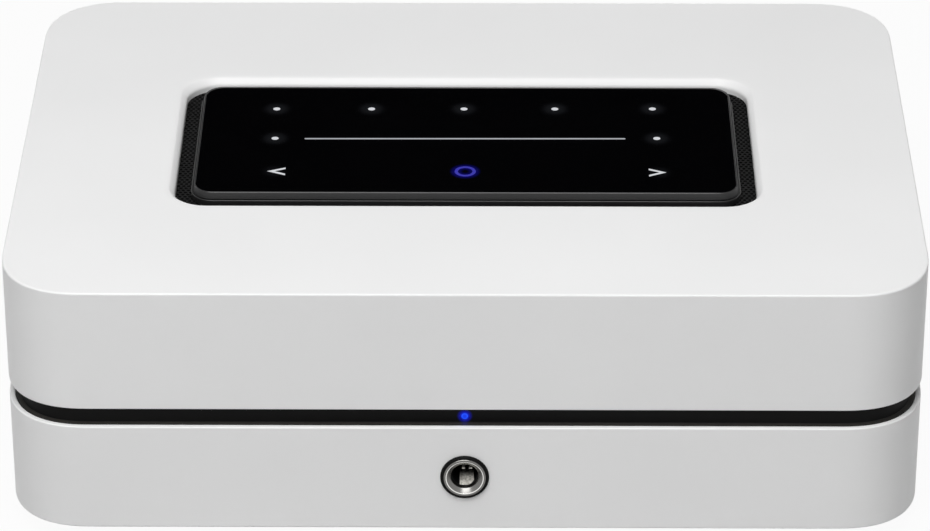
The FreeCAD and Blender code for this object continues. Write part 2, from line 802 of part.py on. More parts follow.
def make_transformer():
    """A ferrite core clamped round a wound bobbin."""
    x, y = transformer_at
    length, depth, height = transformer_size
    low, top = board_top + bobbin_foot, board_top + height
    core = block_at(x, y, length, core_depth, low, top)
    coil = block_at(x, y, winding_length, depth, low + winding_gap, top - bobbin_foot - winding_gap)
    coil = coil.makeChamfer(winding_bevel, upright_edges(coil, coil.BoundBox.ZLength))
    feet = block_at(x, y, bobbin_length, depth + 2 * bobbin_overhang, board_top, low)
    return core.fuse([coil, feet])


def make_bulk_capacitors():
    return [peg_z(x, y, capacitor_radius, board_top, board_top + capacitor_height, sides=16)
            for x, y in capacitor_positions]


def make_mains_fuse():
    (x, y), half, middle_z = fuse_at, fuse_length / 2, board_top + fuse_lift + fuse_radius
    glass = peg_y(x, middle_z, fuse_radius, y - half, y + half)
    clips = [block_at(x, y + side * (half - fuse_clip_inset), 2 * (fuse_radius + fuse_clip_wall),
                      fuse_clip_width, board_top, middle_z) for side in (-1, 1)]
    return glass.fuse(clips)


def make_amp_chips():
    top = board_top + chip_height
    return [block_at(x, y, chip_size, chip_size, board_top, top) for x, y in chip_positions]


def make_heat_sink():
    """A thick base with a row of fins, the gaps between them open at both ends."""
    x0, x1 = sink_x
    top, base = sink_z + sink_height, sink_z + sink_base
    pitch = (x1 - x0 - fin_thickness) / (fin_count - 1)
    gaps = [block(x0 + k * pitch + fin_thickness, x0 + (k + 1) * pitch, *sink_y, base, top)
            for k in range(fin_count - 1)]
    return block(x0, x1, *sink_y, sink_z, top).cut(gaps)


def make_output_coils():
    coils = []
    for x, y in coil_positions:
        coil = block_at(x, y, coil_size, coil_size, board_top, board_top + coil_height)
        coils.append(coil.makeChamfer(coil_bevel, upright_edges(coil, coil_height)))
    return coils


def make_processor_shield():
    """The tinned can over the processor and the radio."""
    can = block_at(0, shield_y, *shield_size, main_top, shield_top)
    return can.makeChamfer(shield_bevel, edges_at(can, shield_top))


# Rear panel and sockets

def socket_z():
    """Centre heights of the sockets that stand on the main board."""
    return {"lan": main_top + lan_size[2] / 2, "usb": main_top + 1.0 + usb_size[2] / 2,
            "hdmi": main_top + 1.0 + hdmi_size[2] / 2, "round": main_top + round_jack_size[2] / 2,
            "sub": main_top + sub_body[2] / 2}


def inlet_z():
    return board_top + inlet_size[2] / 2


def hdmi_wire(shrink):
    """The socket's outline: a bar with its two lower corners cut away."""
    half, low, high = hdmi_size[0] / 2 - shrink, -hdmi_size[2] / 2 + shrink, hdmi_size[2] / 2 - shrink
    points = [V(-half, high, 0), V(-half, low + hdmi_taper, 0), V(-half + hdmi_taper, low, 0),
              V(half - hdmi_taper, low, 0), V(half, low + hdmi_taper, 0), V(half, high, 0)]
    return Part.makePolygon(points + points[:1])


def make_rear_panel():
    """The black back plate, with a hole for each socket, terminal and screw."""
    wire = outline(panel_half_x, (panel_top - panel_bottom) / 2, ((panel_corner + panel_margin, 90),))
    plate = upright(wire, 0, (panel_top + panel_bottom) / 2, panel_back, panel_face)
    z, through = socket_z(), (panel_back, panel_face)
    grow = 2 * socket_gap
    cuts = [block_y(lan_x, z["lan"], lan_size[0] + grow, lan_size[2] + grow, *through),
            block_y(usb_x, z["usb"], usb_size[0] + grow, usb_size[2] + grow, *through),
            block_y(inlet_x, inlet_z(), inlet_size[0] + grow, inlet_size[2] + grow, *through),
            upright(hdmi_wire(-socket_gap), hdmi_x, z["hdmi"], *through),
            peg_y(sub_x, z["sub"], sub_neck_radius + socket_gap, *through, socket_sides)]
    nose_hole = round_jack_nose + socket_gap
    cuts += [peg_y(x, z["round"], nose_hole, *through, socket_sides) for x in round_jack_x]
    cuts += [peg_y(x, post_z, post_shank_radius + socket_gap, *through) for x in post_x.values()]
    cuts += [peg_y(x, z, panel_screw_hole, *through) for x, z in panel_screws_xz()]
    return plate.cut(cuts)


def make_panel_screws():
    tip, top = panel_back - tray_thickness - panel_screw_tip, panel_face + panel_screw_head_height
    screws = []
    for x, z in panel_screws_xz():
        head = peg_y(x, z, panel_screw_head, panel_face, top)
        screws.append(head.fuse(peg_y(x, z, panel_screw_radius, tip, panel_face)))
    return screws


def make_lan_socket():
    z = socket_z()["lan"]
    width, depth, height = lan_size
    wide, deep, tall = lan_opening
    shell = block_y(lan_x, z, width, height, panel_face - depth, panel_face)
    mouth = block_y(lan_x, z, wide, tall, panel_face - deep, panel_face)
    latch = block_y(lan_x, z - tall / 2, lan_latch[0], lan_latch[1], panel_face - deep, panel_face)
    return shell.cut([mouth, latch])


def make_lan_contacts():
    """Eight sprung wires that slope down from the roof of the socket."""
    z = socket_z()["lan"] + lan_opening[2] / 2
    pins = []
    front = panel_face - lan_pin_start
    back = front - lan_pin_run
    for k in range(lan_pins):
        x = lan_x + (k - (lan_pins - 1) / 2) * lan_pin_pitch - lan_pin_width / 2
        ring = [V(x, front, z), V(x, front - lan_pin_depth, z), V(x, back - lan_pin_depth, z - lan_pin_drop),
                V(x, back, z - lan_pin_drop)]
        pins.append(Part.Face(Part.makePolygon(ring + ring[:1])).extrude(V(lan_pin_width, 0, 0)))
    return pins


def make_usb_socket():
    """A folded metal shell, open behind the panel's face, on a foot that stands on the board."""
    z = socket_z()["usb"]
    width, depth, height = usb_size
    front = panel_face - depth
    shell = block_y(usb_x, z, width, height, front, panel_face)
    hollow = block_y(usb_x, z, width - 2 * shell_metal, height - 2 * shell_metal, front + shell_back,
                     panel_face)
    foot = block(usb_x - width / 2, usb_x + width / 2, front, panel_back - shell_foot_gap, main_top,
                 z - height / 2)
    return shell.cut(hollow).fuse(foot)


def make_hdmi_socket():
    z = socket_z()["hdmi"]
    front = panel_face - hdmi_size[1]
    half = hdmi_size[0] / 2 - hdmi_taper
    shell = upright(hdmi_wire(0.0), hdmi_x, z, front, panel_face)
    hollow = upright(hdmi_wire(shell_metal), hdmi_x, z, front + shell_back, panel_face)
    foot = block(hdmi_x - half, hdmi_x + half, front, panel_back - shell_foot_gap, main_top,
                 z - hdmi_size[2] / 2)
    return shell.cut(hollow).fuse(foot)


def make_port_tongues():
    """The plastic tongues inside the two metal sockets."""
    tongues = []
    for x, z, depth, tongue, rise in ((usb_x, socket_z()["usb"], usb_size[1], usb_tongue, usb_tongue_rise),
                                      (hdmi_x, socket_z()["hdmi"], hdmi_size[1], hdmi_tongue, 0.0)):
        wide, deep, tall = tongue
        back = panel_face - depth + shell_back
        tongues.append(block_y(x, z + rise, wide, tall, back, back + deep))
    return tongues


def make_round_jacks():
    """Small round sockets: each a box on the board with a nose through the panel."""
    z = socket_z()["round"]
    width, depth, height = round_jack_size
    end = panel_face + round_jack_proud
    jacks = []
    for x in round_jack_x:
        body = block_y(x, z, width, height, panel_back - depth, panel_back)
        nose = peg_y(x, z, round_jack_nose, panel_back, end, socket_sides)
        jacks.append(body.fuse(nose).cut(rod_y(x, z, round_jack_bore, end - round_jack_bore_length, end)))
    return jacks


def make_sub_out_body():
    """The phono socket's block, with a collar outside the panel and an insulated core in its barrel."""
    z = socket_z()["sub"]
    width, depth, height = sub_body
    start = panel_face + sub_ring_proud
    body = block_y(sub_x, z, width, height, panel_back - depth, panel_back)
    neck = peg_y(sub_x, z, sub_neck_radius, panel_back, panel_face, socket_sides)
    ring = peg_y(sub_x, z, sub_ring_radius, panel_face, start, socket_sides)
    core = peg_y(sub_x, z, sub_barrel_radius - sub_barrel_wall, start, sub_end, socket_sides)
    bore = rod_y(sub_x, z, sub_pin_bore, sub_end - sub_pin_length, sub_end)
    return body.fuse([neck, ring, core]).cut(bore)


def make_sub_out_barrel():
    z = socket_z()["sub"]
    start = panel_face + sub_ring_proud
    barrel = rod_y(sub_x, z, sub_barrel_radius, start, start + sub_barrel_length)
    inside = sub_barrel_radius - sub_barrel_wall
    return barrel.cut(peg_y(sub_x, z, inside, start, start + sub_barrel_length, socket_sides))


def make_mains_inlet():
    """Two-pin inlet: a figure-of-eight recess in a black block."""
    z = inlet_z()
    width, depth, height = inlet_size
    recess = (panel_face - inlet_recess, panel_face)
    body = block_y(inlet_x, z, width, height, panel_face - depth, panel_face)
    lobes = [peg_y(x, z, inlet_lobe_radius, *recess, socket_sides) for x in inlet_pins_x()]
    waist = block_y(inlet_x, z, inlet_pin_pitch, inlet_waist, *recess)
    return body.cut(lobes[0].fuse([lobes[1], waist]))


def inlet_pins_x():
    return [inlet_x + side * inlet_pin_pitch / 2 for side in (-1, 1)]


def make_inlet_pins():
    start = panel_face - inlet_recess
    return [rod_y(x, inlet_z(), inlet_pin_radius, start, start + inlet_pin_length) for x in inlet_pins_x()]


# Speaker terminals

def make_post_bases():
    """Insulating bushes: a disc outside the panel and a shank through it."""
    bases = []
    start = panel_back - post_shank_proud
    for x in post_x.values():
        disc = peg_y(x, post_z, post_base_radius, panel_face, post_seat, sides=post_base_sides)
        shank = peg_y(x, post_z, post_shank_radius, start, panel_face)
        hole = peg_y(x, post_z, washer_hole, start, post_seat)
        bases.append(disc.fuse(shank).cut(hole))
    return bases


def make_post_studs():
    """Threaded tubes: a socket for a plug in the end, a clamping seat and a cross slot for bare wire."""
    studs = []
    wire_y = washer_start + post_wire_gap + post_wire_slot / 2
    for x in post_x.values():
        tail = peg_y(x, post_z, post_tail_radius, panel_back - post_inside, post_seat)
        seat = peg_y(x, post_z, post_seat_radius, post_seat, washer_start)
        stem = peg_y(x, post_z, post_stud_radius, washer_start, stud_end, post_base_sides)
        bore = rod_y(x, post_z, post_bore_radius, stud_end - post_bore_length, stud_end)
        cross = block_at(x, wire_y, post_wire_slot, post_wire_slot, post_z - post_stud_radius,
                         post_z + post_stud_radius)
        studs.append(tail.fuse([seat, stem]).cut([bore, cross]))
    return studs


def make_post_nuts():
    """Hexagon nuts that clamp the terminals from inside, against the ends of their bushes."""
    nuts = []
    end = panel_back - post_shank_proud
    start = end - post_nut_height
    for x in post_x.values():
        nut = peg_y(x, post_z, post_nut_radius, start, end, sides=6)
        nuts.append(nut.cut(peg_y(x, post_z, washer_hole, start, end)))
    return nuts


def make_post_washer(x):
    ring = peg_y(x, post_z, washer_radius, washer_start, cap_start)
    return ring.cut(peg_y(x, post_z, washer_hole, washer_start, cap_start))


def make_post_cap(x):
    """The fluted cap: a bore that runs on the stud, and a hole for the plug in its end."""
    ring = []
    for k in range(2 * cap_flutes + 1):
        radius = cap_radius - cap_flute_depth * (k % 2)
        angle = k * math.pi / cap_flutes
        ring.append(V(radius * math.cos(angle), radius * math.sin(angle), 0))
    barrel = upright(Part.makePolygon(ring), x, post_z, cap_start, cap_finish)
    bore = rod_y(x, post_z, post_stud_radius + cap_gap, cap_start, cap_finish - cap_end)
    return barrel.cut([bore, peg_y(x, post_z, cap_end_hole, cap_start, cap_finish)])


# Antennas and the leads between boards

def lead(points):
    """A six-sided wire along straight runs."""
    path = Part.makePolygon(points)
    first = points[1] - points[0]
    side = first.cross(V(0.3, 0.5, 0.8)).normalize()
    other = first.cross(side).normalize()
    ring = [points[0] + (side * math.cos(k * math.pi / 3) + other * math.sin(k * math.pi / 3)) * lead_radius
            for k in range(7)]
    return path.makePipeShell([Part.makePolygon(ring)], True, False, 1)


def make_antennas():
    """Thin aerials stuck to the inside of the upper shell's sides."""
    thick, length, tall = antenna_size
    middle = half_x - wall - thick / 2
    return [block_at(side * middle, antenna_y, thick, length, antenna_z - tall / 2, antenna_z + tall / 2)
            for side in (-1, 1)]


def make_antenna_leads():
    """The coaxial leads from the aerials to the radio under the can."""
    leads = []
    start, end = half_x - wall - antenna_size[0], shield_size[0] / 2 - antenna_lead_inset
    root_y, bend = antenna_y + antenna_size[1] / 4, start - antenna_lead_run
    for side in (-1, 1):
        y = shield_y + side * shield_size[1] / 5
        points = [V(side * start, root_y, antenna_z), V(side * bend, root_y, antenna_z),
                  V(side * (bend - antenna_lead_slant), y, antenna_z - 2 * antenna_lead_drop),
                  V(side * end, y, antenna_z - antenna_lead_drop), V(side * end, y, shield_top)]
        leads.append(lead(points))
    return leads


def make_board_leads():
    """Leads between boards: supply to amplifier, main board to amplifier, headphone and status boards."""
    leads = []
    inner, arch, under = board_inner_x + lead_inset, board_top + lead_arch, main_board_z - lead_arch
    for k in range(2):
        y, x = supply_lead_y + lead_pitch * k, inner + lead_pitch * (k + 1)
        leads.append(lead([V(-inner, y, board_top), V(-inner, y, arch), V(inner, y, arch),
                           V(inner, y, board_top)]))
        leads.append(lead([V(x, signal_lead_y, main_board_z), V(x, signal_lead_y, under),
                           V(x, signal_lead_y - lead_step, arch),
                           V(x, signal_lead_y - lead_step, board_top)]))
    low, y = board_z_low() + pcb, jack_back + headphone_board_tail / 2
    leads.append(lead([V(lead_middle, y, low), V(lead_middle, y, arch), V(inner, y + lead_step, arch),
                       V(inner, y + lead_step, board_top)]))
    face, beside = -half_y + band_recess + band_thickness + pcb, jack_body_width / 2 + lead_inset
    bend, end = face + status_lead_run, face + status_lead_run + lead_middle
    leads.append(lead([V(lead_middle, face, lower_rim), V(lead_middle, bend, lower_rim),
                       V(beside, end, lower_rim - status_lead_drop), V(beside, end, low)]))
    return leads


def ribbon_y():
    """Where the touch board's ribbon leaves its tray."""
    return tray_half_in_y - ribbon_inset


def make_touch_ribbon():
    """The flat lead from the touch board down to the main board."""
    y, top, end = ribbon_y(), touch_board_z, ribbon_y() - ribbon_step
    path = [(y, top), (y, top - ribbon_drop), (end, main_top + ribbon_drop), (end, main_top)]
    front = [(a - ribbon_thickness, z) for a, z in path]
    ring = [V(-ribbon_width / 2, a, z) for a, z in path + front[::-1]]
    return Part.Face(Part.makePolygon(ring + ring[:1])).extrude(V(ribbon_width, 0, 0))


def build():
    parts["upper_shell"] = make_upper_shell()
    parts["lower_shell"] = make_lower_shell()
    parts["seam_band"] = make_seam_band()
    parts["feet"] = make_feet()
    parts["shell_screws"] = make_shell_screws()
    parts["vent_grille"] = make_vent_grille()
    parts["touch_bezel"] = make_touch_bezel()
    parts["touch_glass"] = make_touch_glass()
    parts["touch_board"] = make_touch_board()
    parts["light_mask"] = make_light_mask()
    parts["light_pipes"] = make_light_pipes()
    parts["status_lens"] = make_status_lens()
    parts["status_board"] = make_status_board()
    parts["jack_collar"] = make_jack_collar()
    parts["jack_nut"] = make_jack_nut()
    parts["jack_body"] = make_jack_body()
    parts["jack_contacts"] = make_jack_contacts()
    parts["headphone_board"] = make_headphone_board()
    parts["chassis_tray"] = make_chassis_tray()
    parts["board_standoffs"] = make_standoffs()
    parts["power_board"] = make_power_board()
    parts["amp_board"] = make_amp_board()
    parts["main_board"] = make_main_board()
    parts["mains_transformer"] = make_transformer()
    parts["bulk_capacitors"] = make_bulk_capacitors()
    parts["mains_fuse"] = make_mains_fuse()
    parts["amp_chips"] = make_amp_chips()
    parts["heat_sink"] = make_heat_sink()
    parts["output_coils"] = make_output_coils()
    parts["processor_shield"] = make_processor_shield()
    parts["rear_panel"] = make_rear_panel()
    parts["panel_screws"] = make_panel_screws()
    parts["lan_socket"] = make_lan_socket()
    parts["lan_contacts"] = make_lan_contacts()
    parts["usb_socket"] = make_usb_socket()
    parts["hdmi_socket"] = make_hdmi_socket()
    parts["port_tongues"] = make_port_tongues()
    parts["round_jacks"] = make_round_jacks()
    parts["sub_out_body"] = make_sub_out_body()
    parts["sub_out_barrel"] = make_sub_out_barrel()
    parts["mains_inlet"] = make_mains_inlet()
    parts["inlet_pins"] = make_inlet_pins()
    parts["post_bases"] = make_post_bases()
    parts["post_studs"] = make_post_studs()
    parts["post_nuts"] = make_post_nuts()
    for name, x in post_x.items():
        parts["washer_" + name] = make_post_washer(x)
        parts["cap_" + name] = make_post_cap(x)
    parts["antennas"] = make_antennas()
    parts["antenna_leads"] = make_antenna_leads()
    parts["board_leads"] = make_board_leads()
    parts["touch_ribbon"] = make_touch_ribbon()


def export():
    os.makedirs("parts", exist_ok=True)
    for name, made in parts.items():
        solids = [s for piece in (made if isinstance(made, list) else [made]) for s in piece.Solids]
        shape = solids[0] if len(solids) == 1 else Part.makeCompound(solids)
        shape.translate(V(0, -origin_y, 0))
        shape.exportStep("parts/" + name + ".step")
        print(name, len(solids), "solids", round(sum(s.Volume for s in solids), 1), "mm3",
              "" if all(s.isValid() for s in solids) else "NOT VALID")


build()
export()
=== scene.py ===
import math

import bmesh
import bpy
import numpy as np
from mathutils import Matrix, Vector


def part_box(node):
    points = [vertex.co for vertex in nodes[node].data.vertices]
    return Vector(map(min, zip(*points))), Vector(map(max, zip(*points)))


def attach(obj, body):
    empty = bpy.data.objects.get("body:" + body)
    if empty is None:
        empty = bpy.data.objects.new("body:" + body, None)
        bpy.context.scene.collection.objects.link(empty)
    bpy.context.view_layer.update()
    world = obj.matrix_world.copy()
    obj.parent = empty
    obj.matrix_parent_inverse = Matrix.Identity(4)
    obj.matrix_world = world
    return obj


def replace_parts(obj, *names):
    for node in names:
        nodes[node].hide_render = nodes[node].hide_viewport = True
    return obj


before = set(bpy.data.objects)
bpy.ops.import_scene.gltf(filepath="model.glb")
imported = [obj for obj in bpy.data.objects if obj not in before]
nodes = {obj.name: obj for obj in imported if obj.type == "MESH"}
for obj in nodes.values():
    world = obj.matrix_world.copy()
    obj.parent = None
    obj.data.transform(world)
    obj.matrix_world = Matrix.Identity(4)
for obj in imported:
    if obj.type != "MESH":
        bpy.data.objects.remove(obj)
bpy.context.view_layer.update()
mm = 0.001

# Camera
# A long lens stands in front of the amplifier and above it, a little to the right. Its place and
# turn were worked out from the corners of the case in the photograph.
camera = bpy.data.objects.new("camera", bpy.data.cameras.new("camera"))
bpy.context.scene.collection.objects.link(camera)
bpy.context.scene.camera = camera
camera.data.lens, camera.data.sensor_width = 170.19, 36.0
camera.data.clip_start, camera.data.clip_end = 0.05, 20.0
camera.location = (0.005508, -0.97685, 0.582055)
camera.rotation_euler = [math.radians(turn) for turn in (60.4855, 0.0248, 0.3338)]

# Upper and lower shell
# Two moulded ABS covers with walls 2.4 mm thick, sprayed with a satin white lacquer. Four long
# screws pull them together from below, and the seam band keeps them 5 mm apart.
shell_low, shell_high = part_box("upper_shell")
base_low, base_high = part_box("lower_shell")
middle_y = (shell_low.y + shell_high.y) / 2 / mm
half_x, half_y = (shell_high.x - shell_low.x) / 2 / mm, (shell_high.y - shell_low.y) / 2 / mm
front, rear = middle_y - half_y, middle_y + half_y
case_top, upper_rim = shell_high.z / mm, shell_low.z / mm
lower_rim, case_bottom = base_high.z / mm, base_low.z / mm
corner, corner_power = 20.45, 2.32
wall, top_skin, floor_skin = 2.4, 3.4, 2.4
window_x, window_y, window_corner = 71.1, 32.7, 8.2
panel_half_x, panel_low, panel_high, panel_corner = 85.0, 13.0, 57.0, 4.0
ledge_inset, ledge_height = 1.3, 1.0
jack_z, jack_hole = 19.8, 4.75
top_round, rim_round, base_round = 0.5, 0.28, 0.6


def laid(flat, z):
    """Points (x, y) at height z."""
    return np.column_stack((flat, np.full(len(flat), z)))


def stood(flat, y):
    """Points (x, z) at depth y."""
    return np.column_stack((flat[:, 0], np.full(len(flat), y), flat[:, 1]))


def ring(half_a, half_b, size, power, inset, z, steps=22):
    """A closed ring of points in millimetres: a rectangle whose corners are quarters of the curve
    |x|^power + |y|^power = size^power, moved inwards along its own normal by inset. A point 1 mm
    before and after each corner keeps the sides' shading flat."""
    turn = np.linspace(0, math.pi / 2, steps)
    cos, sin = np.clip(np.cos(turn), 0, 1), np.clip(np.sin(turn), 0, 1)
    across = np.stack((cos ** (2 - 2 / power), sin ** (2 - 2 / power)), 1)
    across /= np.linalg.norm(across, axis=1)[:, None]
    bend = size * np.stack((cos ** (2 / power), sin ** (2 / power)), 1) - inset * across
    hold = 1.0
    bend = np.vstack(([bend[0, 0], -hold], bend, [-hold, bend[-1, 1]])) + (half_a - size, half_b - size)
    quarters = [bend, bend[::-1] * (-1, 1), bend * (-1, -1), bend[::-1] * (1, -1)]
    return laid(np.vstack(quarters) + (0, middle_y), z)


def case_ring(inset, z):
    """The case's outline at height z, moved inwards by inset."""
    return ring(half_x, half_y, corner, corner_power, inset, z)


def window_ring(grow, z):
    """The window's outline at height z, moved outwards by grow."""
    return ring(window_x + grow, window_y + grow, window_corner + grow, 2.0, 0.0, z)


def rounding(start, finish, centre, steps=6):
    """Profile points on a quarter circle from start to finish, given as (inset, z) offsets from its
    centre, with a point 0.15 mm before and after so that the flats beside it shade flat."""
    turn = np.linspace(0, math.pi / 2, steps + 1)
    start, finish, centre = (np.array(p, float) for p in (start, finish, centre))
    bend = centre + np.cos(turn)[:, None] * start + np.sin(turn)[:, None] * finish
    hold = 0.15
    before = bend[0] - finish / np.linalg.norm(finish) * hold
    after = bend[-1] - start / np.linalg.norm(start) * hold
    return [tuple(p) for p in np.vstack((before, bend, after))]


def new_object(name, mesh, sharp):
    """A smooth-shaded object, with sharp edges where the mesh bends by more than sharp degrees."""
    mesh.polygons.foreach_set("use_smooth", np.ones(len(mesh.polygons), bool))
    mesh.set_sharp_from_angle(angle=math.radians(sharp))
    piece = bpy.data.objects.new(name, mesh)
    bpy.context.scene.collection.objects.link(piece)
    return piece


def new_mesh(name, points, faces, outward=True, sharp=32.0):
    """An object from points in millimetres, with its faces turned outwards."""
    mesh = bpy.data.meshes.new(name)
    mesh.from_pydata((np.asarray(points) * mm).tolist(), [], faces)
    shape = bmesh.new()
    shape.from_mesh(mesh)
    bmesh.ops.remove_doubles(shape, verts=shape.verts, dist=1e-7)
    if outward:
        bmesh.ops.recalc_face_normals(shape, faces=shape.faces)
    shape.to_mesh(mesh)
    shape.free()
    return new_object(name, mesh, sharp)


def skin_faces(rows, around, first=0, closed=False, caps=False):
    """Quads over rows of points, each row a closed ring; the rows close on themselves, or the first
    and last row are filled with one face each."""
    row, step = np.meshgrid(np.arange(rows if closed else rows - 1), np.arange(around), indexing="ij")
    here, beside = row * around + step, row * around + (step + 1) % around
    above = ((row + 1) % rows) * around
    faces = np.stack((here, beside, above + (step + 1) % around, above + step), -1).reshape(-1, 4) + first
    ends = [list(range(start, start + around)) for start in (first, first + (rows - 1) * around)]
    return faces.tolist() + (ends if caps else [])


def several(name, groups, caps=True, closed=False, sharp=32.0):
    """One object made of several separate skins, each over a list of rings of as many points."""
    points, faces, first = [], [], 0
    for rings in groups:
        faces += skin_faces(len(rings), len(rings[0]), first, closed, caps)
        points += rings
        first += sum(len(r) for r in rings)
    return new_mesh(name, np.vstack(points), faces, True, sharp)


def skin(name, rings, closed=False, caps=False, sharp=32.0):
    """One surface over a list of rings."""
    return several(name, [rings], caps, closed, sharp)


def cut_away(piece, groups):
    """Takes solids, each given by its rings, out of the piece for good."""
    cutter = several("cutter", groups)
    step = piece.modifiers.new("cut", "BOOLEAN")
    step.operation, step.object, step.solver = "DIFFERENCE", cutter, "EXACT"
    bpy.context.view_layer.update()
    seen = piece.evaluated_get(bpy.context.evaluated_depsgraph_get())
    mesh = bpy.data.meshes.new_from_object(seen)
    piece.modifiers.clear()
    old, piece.data = piece.data, mesh
    bpy.data.meshes.remove(old)
    bpy.data.objects.remove(cutter)
    mesh.polygons.foreach_set("use_smooth", np.ones(len(mesh.polygons), bool))
    mesh.set_sharp_from_angle(angle=math.radians(32))


def panel_hole():
    """The rounded opening in the back walls, as a bar from inside the case to behind it."""
    middle_z, tall = (panel_low + panel_high) / 2, (panel_high - panel_low) / 2
    flat = ring(panel_half_x, tall, panel_corner, 2.0, 0.0, 0.0, 8)[:, :2] + (0, middle_z - middle_y)
    return [stood(flat, y) for y in (rear - 6, rear + 4)]


def tube_points(x, z, radius, y, count=48):
    """A circle of points round a line that runs front to back through (x, z)."""
    turn = np.arange(count) * 2 * math.pi / count
    return stood(np.column_stack((x + radius * np.sin(turn), z - radius * np.cos(turn))), y)


def level_circle(x, y, radius, z, count=48):
    """A level circle of points round (x, y)."""
    turn = np.arange(count) * 2 * math.pi / count
    return laid(np.column_stack((x + radius * np.cos(turn), y + radius * np.sin(turn))), z)


def turned(name, circle, places, profile, closed=False, count=48):
    """Surfaces of revolution, one round each place: a circle for each (radius, level) of the profile."""
    groups = [[circle(*place, radius, level, count) for radius, level in profile] for place in places]
    return several(name, groups, caps=not closed, closed=closed)


upper = [case_ring(wall, upper_rim)]
upper += [case_ring(*p) for p in
          rounding((0, -rim_round), (-rim_round, 0), (rim_round, upper_rim + rim_round), 4)]
upper += [case_ring(*p) for p in
          rounding((-top_round, 0), (0, top_round), (top_round, case_top - top_round))]
# The window's lip, as points (outwards, up) from its inner edge: a steep bevel with soft bends.
lip = [(3.2, 0.0), (2.9, 0.0), (2.5, -0.03), (1.9, -0.12), (1.45, -0.21), (1.25, -0.33), (0.4, -1.36),
       (0.2, -1.6), (0.07, -1.88), (0.0, -2.2), (0.0, -2.4)]
upper += [window_ring(grow, case_top + fall) for grow, fall in lip]
upper += [window_ring(0, case_top - top_skin), case_ring(wall, case_top - top_skin)]
upper_shell = skin("upper_shell_cover", upper, closed=True)
cut_away(upper_shell, [panel_hole()])

lower = [case_ring(wall, case_bottom + floor_skin), case_ring(wall, lower_rim - ledge_height)]
lower += [case_ring(ledge_inset + 0.05, lower_rim - ledge_height), case_ring(ledge_inset, lower_rim - 0.15)]
lower += [case_ring(ledge_inset - 0.15, lower_rim)]
lower += [case_ring(*p) for p in
          rounding((0, rim_round), (-rim_round, 0), (rim_round, lower_rim - rim_round), 4)]
lower += [case_ring(*p) for p in
          rounding((-base_round, 0), (0, -base_round), (base_round, case_bottom + base_round), 5)]
lower_shell = skin("lower_shell_cover", lower[::-1], caps=True)
cut_away(lower_shell, [panel_hole()])
cut_away(lower_shell, [[tube_points(0, jack_z, jack_hole, front + y) for y in (-2.0, 4.0)]])

slot_width, slot_length, slot_pitch, slots_per_bank, bank_x = 3.0, 26.0, 7.5, 6, 44.0
through_floor = (case_bottom - 2, case_bottom + floor_skin + 2)
slot_steps = (np.arange(slots_per_bank) - (slots_per_bank - 1) / 2) * slot_pitch
air_slot = ring(slot_width / 2, slot_length / 2, slot_width / 2, 2.0, 0.0, 0.0, 7)
cut_away(lower_shell, [[air_slot + (side * bank_x + step, 0, z) for z in through_floor]
                       for side in (-1, 1) for step in slot_steps])
column_inset, column_radius, well_radius, pilot_radius, well_top = 14.0, 4.5, 2.75, 1.5, 20.0
column_x, column_y = half_x - column_inset, half_y - column_inset
columns = [(side * column_x, middle_y + back * column_y) for side in (-1, 1) for back in (-1, 1)]
cut_away(lower_shell, [[level_circle(x, y, well_radius, z) for z in through_floor] for x, y in columns])

low_column = [
    (well_radius, case_bottom + 0.3), (well_radius, well_top), (pilot_radius, well_top),
    (pilot_radius, lower_rim - ledge_height), (column_radius, lower_rim - ledge_height),
    (column_radius, case_bottom + 0.3)]
high_column = [
    (pilot_radius, upper_rim), (pilot_radius, case_top - 2 * top_skin),
    (column_radius, case_top - 2 * top_skin), (column_radius, upper_rim)]
low_columns = turned("lower_columns", level_circle, columns, low_column, True, 32)
high_columns = turned("upper_columns", level_circle, columns, high_column, True, 32)


def linear(colour):
    """An sRGB hex colour as the linear values that a shader takes."""
    values = [int(colour[k:k + 2], 16) / 255 for k in (1, 3, 5)]
    return tuple(v / 12.92 if v <= 0.04045 else ((v + 0.055) / 1.055) ** 2.4 for v in values) + (1.0,)


def join(node, links):
    """Links a node's inputs to outputs; a node as the source stands for its first output in use."""
    for name, source in links.items():
        if isinstance(source, bpy.types.Node):
            source = next(output for output in source.outputs if output.enabled)
        node.id_data.links.new(source, node.inputs[name])


def add(tree, kind, values=None, links=None, stops=(), **settings):
    """A node of that kind with its settings, its unlinked values, its links and, for a colour ramp,
    its stops as (position, colour). Colours may be given in hex."""
    made = tree.nodes.new("ShaderNode" + kind)
    for name, value in settings.items():
        setattr(made, name, value)
    for name, value in (values or {}).items():
        made.inputs[name].default_value = linear(value) if isinstance(value, str) else value
    for k, (position, colour) in enumerate(stops):
        stop = made.color_ramp.elements[k] if k < 2 else made.color_ramp.elements.new(position)
        stop.position, stop.color = position, linear(colour)
    join(made, links or {})
    return made


def new_material(name, colour, roughness, **values):
    """A material with its main shader set, and that material's tree, shader and place on the object."""
    material = bpy.data.materials.new(name)
    material.use_nodes = True
    tree = material.node_tree
    shader = tree.nodes["Principled BSDF"]
    shader.inputs["Base Color"].default_value = linear(colour)
    shader.inputs["Roughness"].default_value = roughness
    for key, value in values.items():
        shader.inputs[key.replace("_", " ")].default_value = value
    place = add(tree, "TexCoord").outputs["Object"]
    return material, tree, shader, place


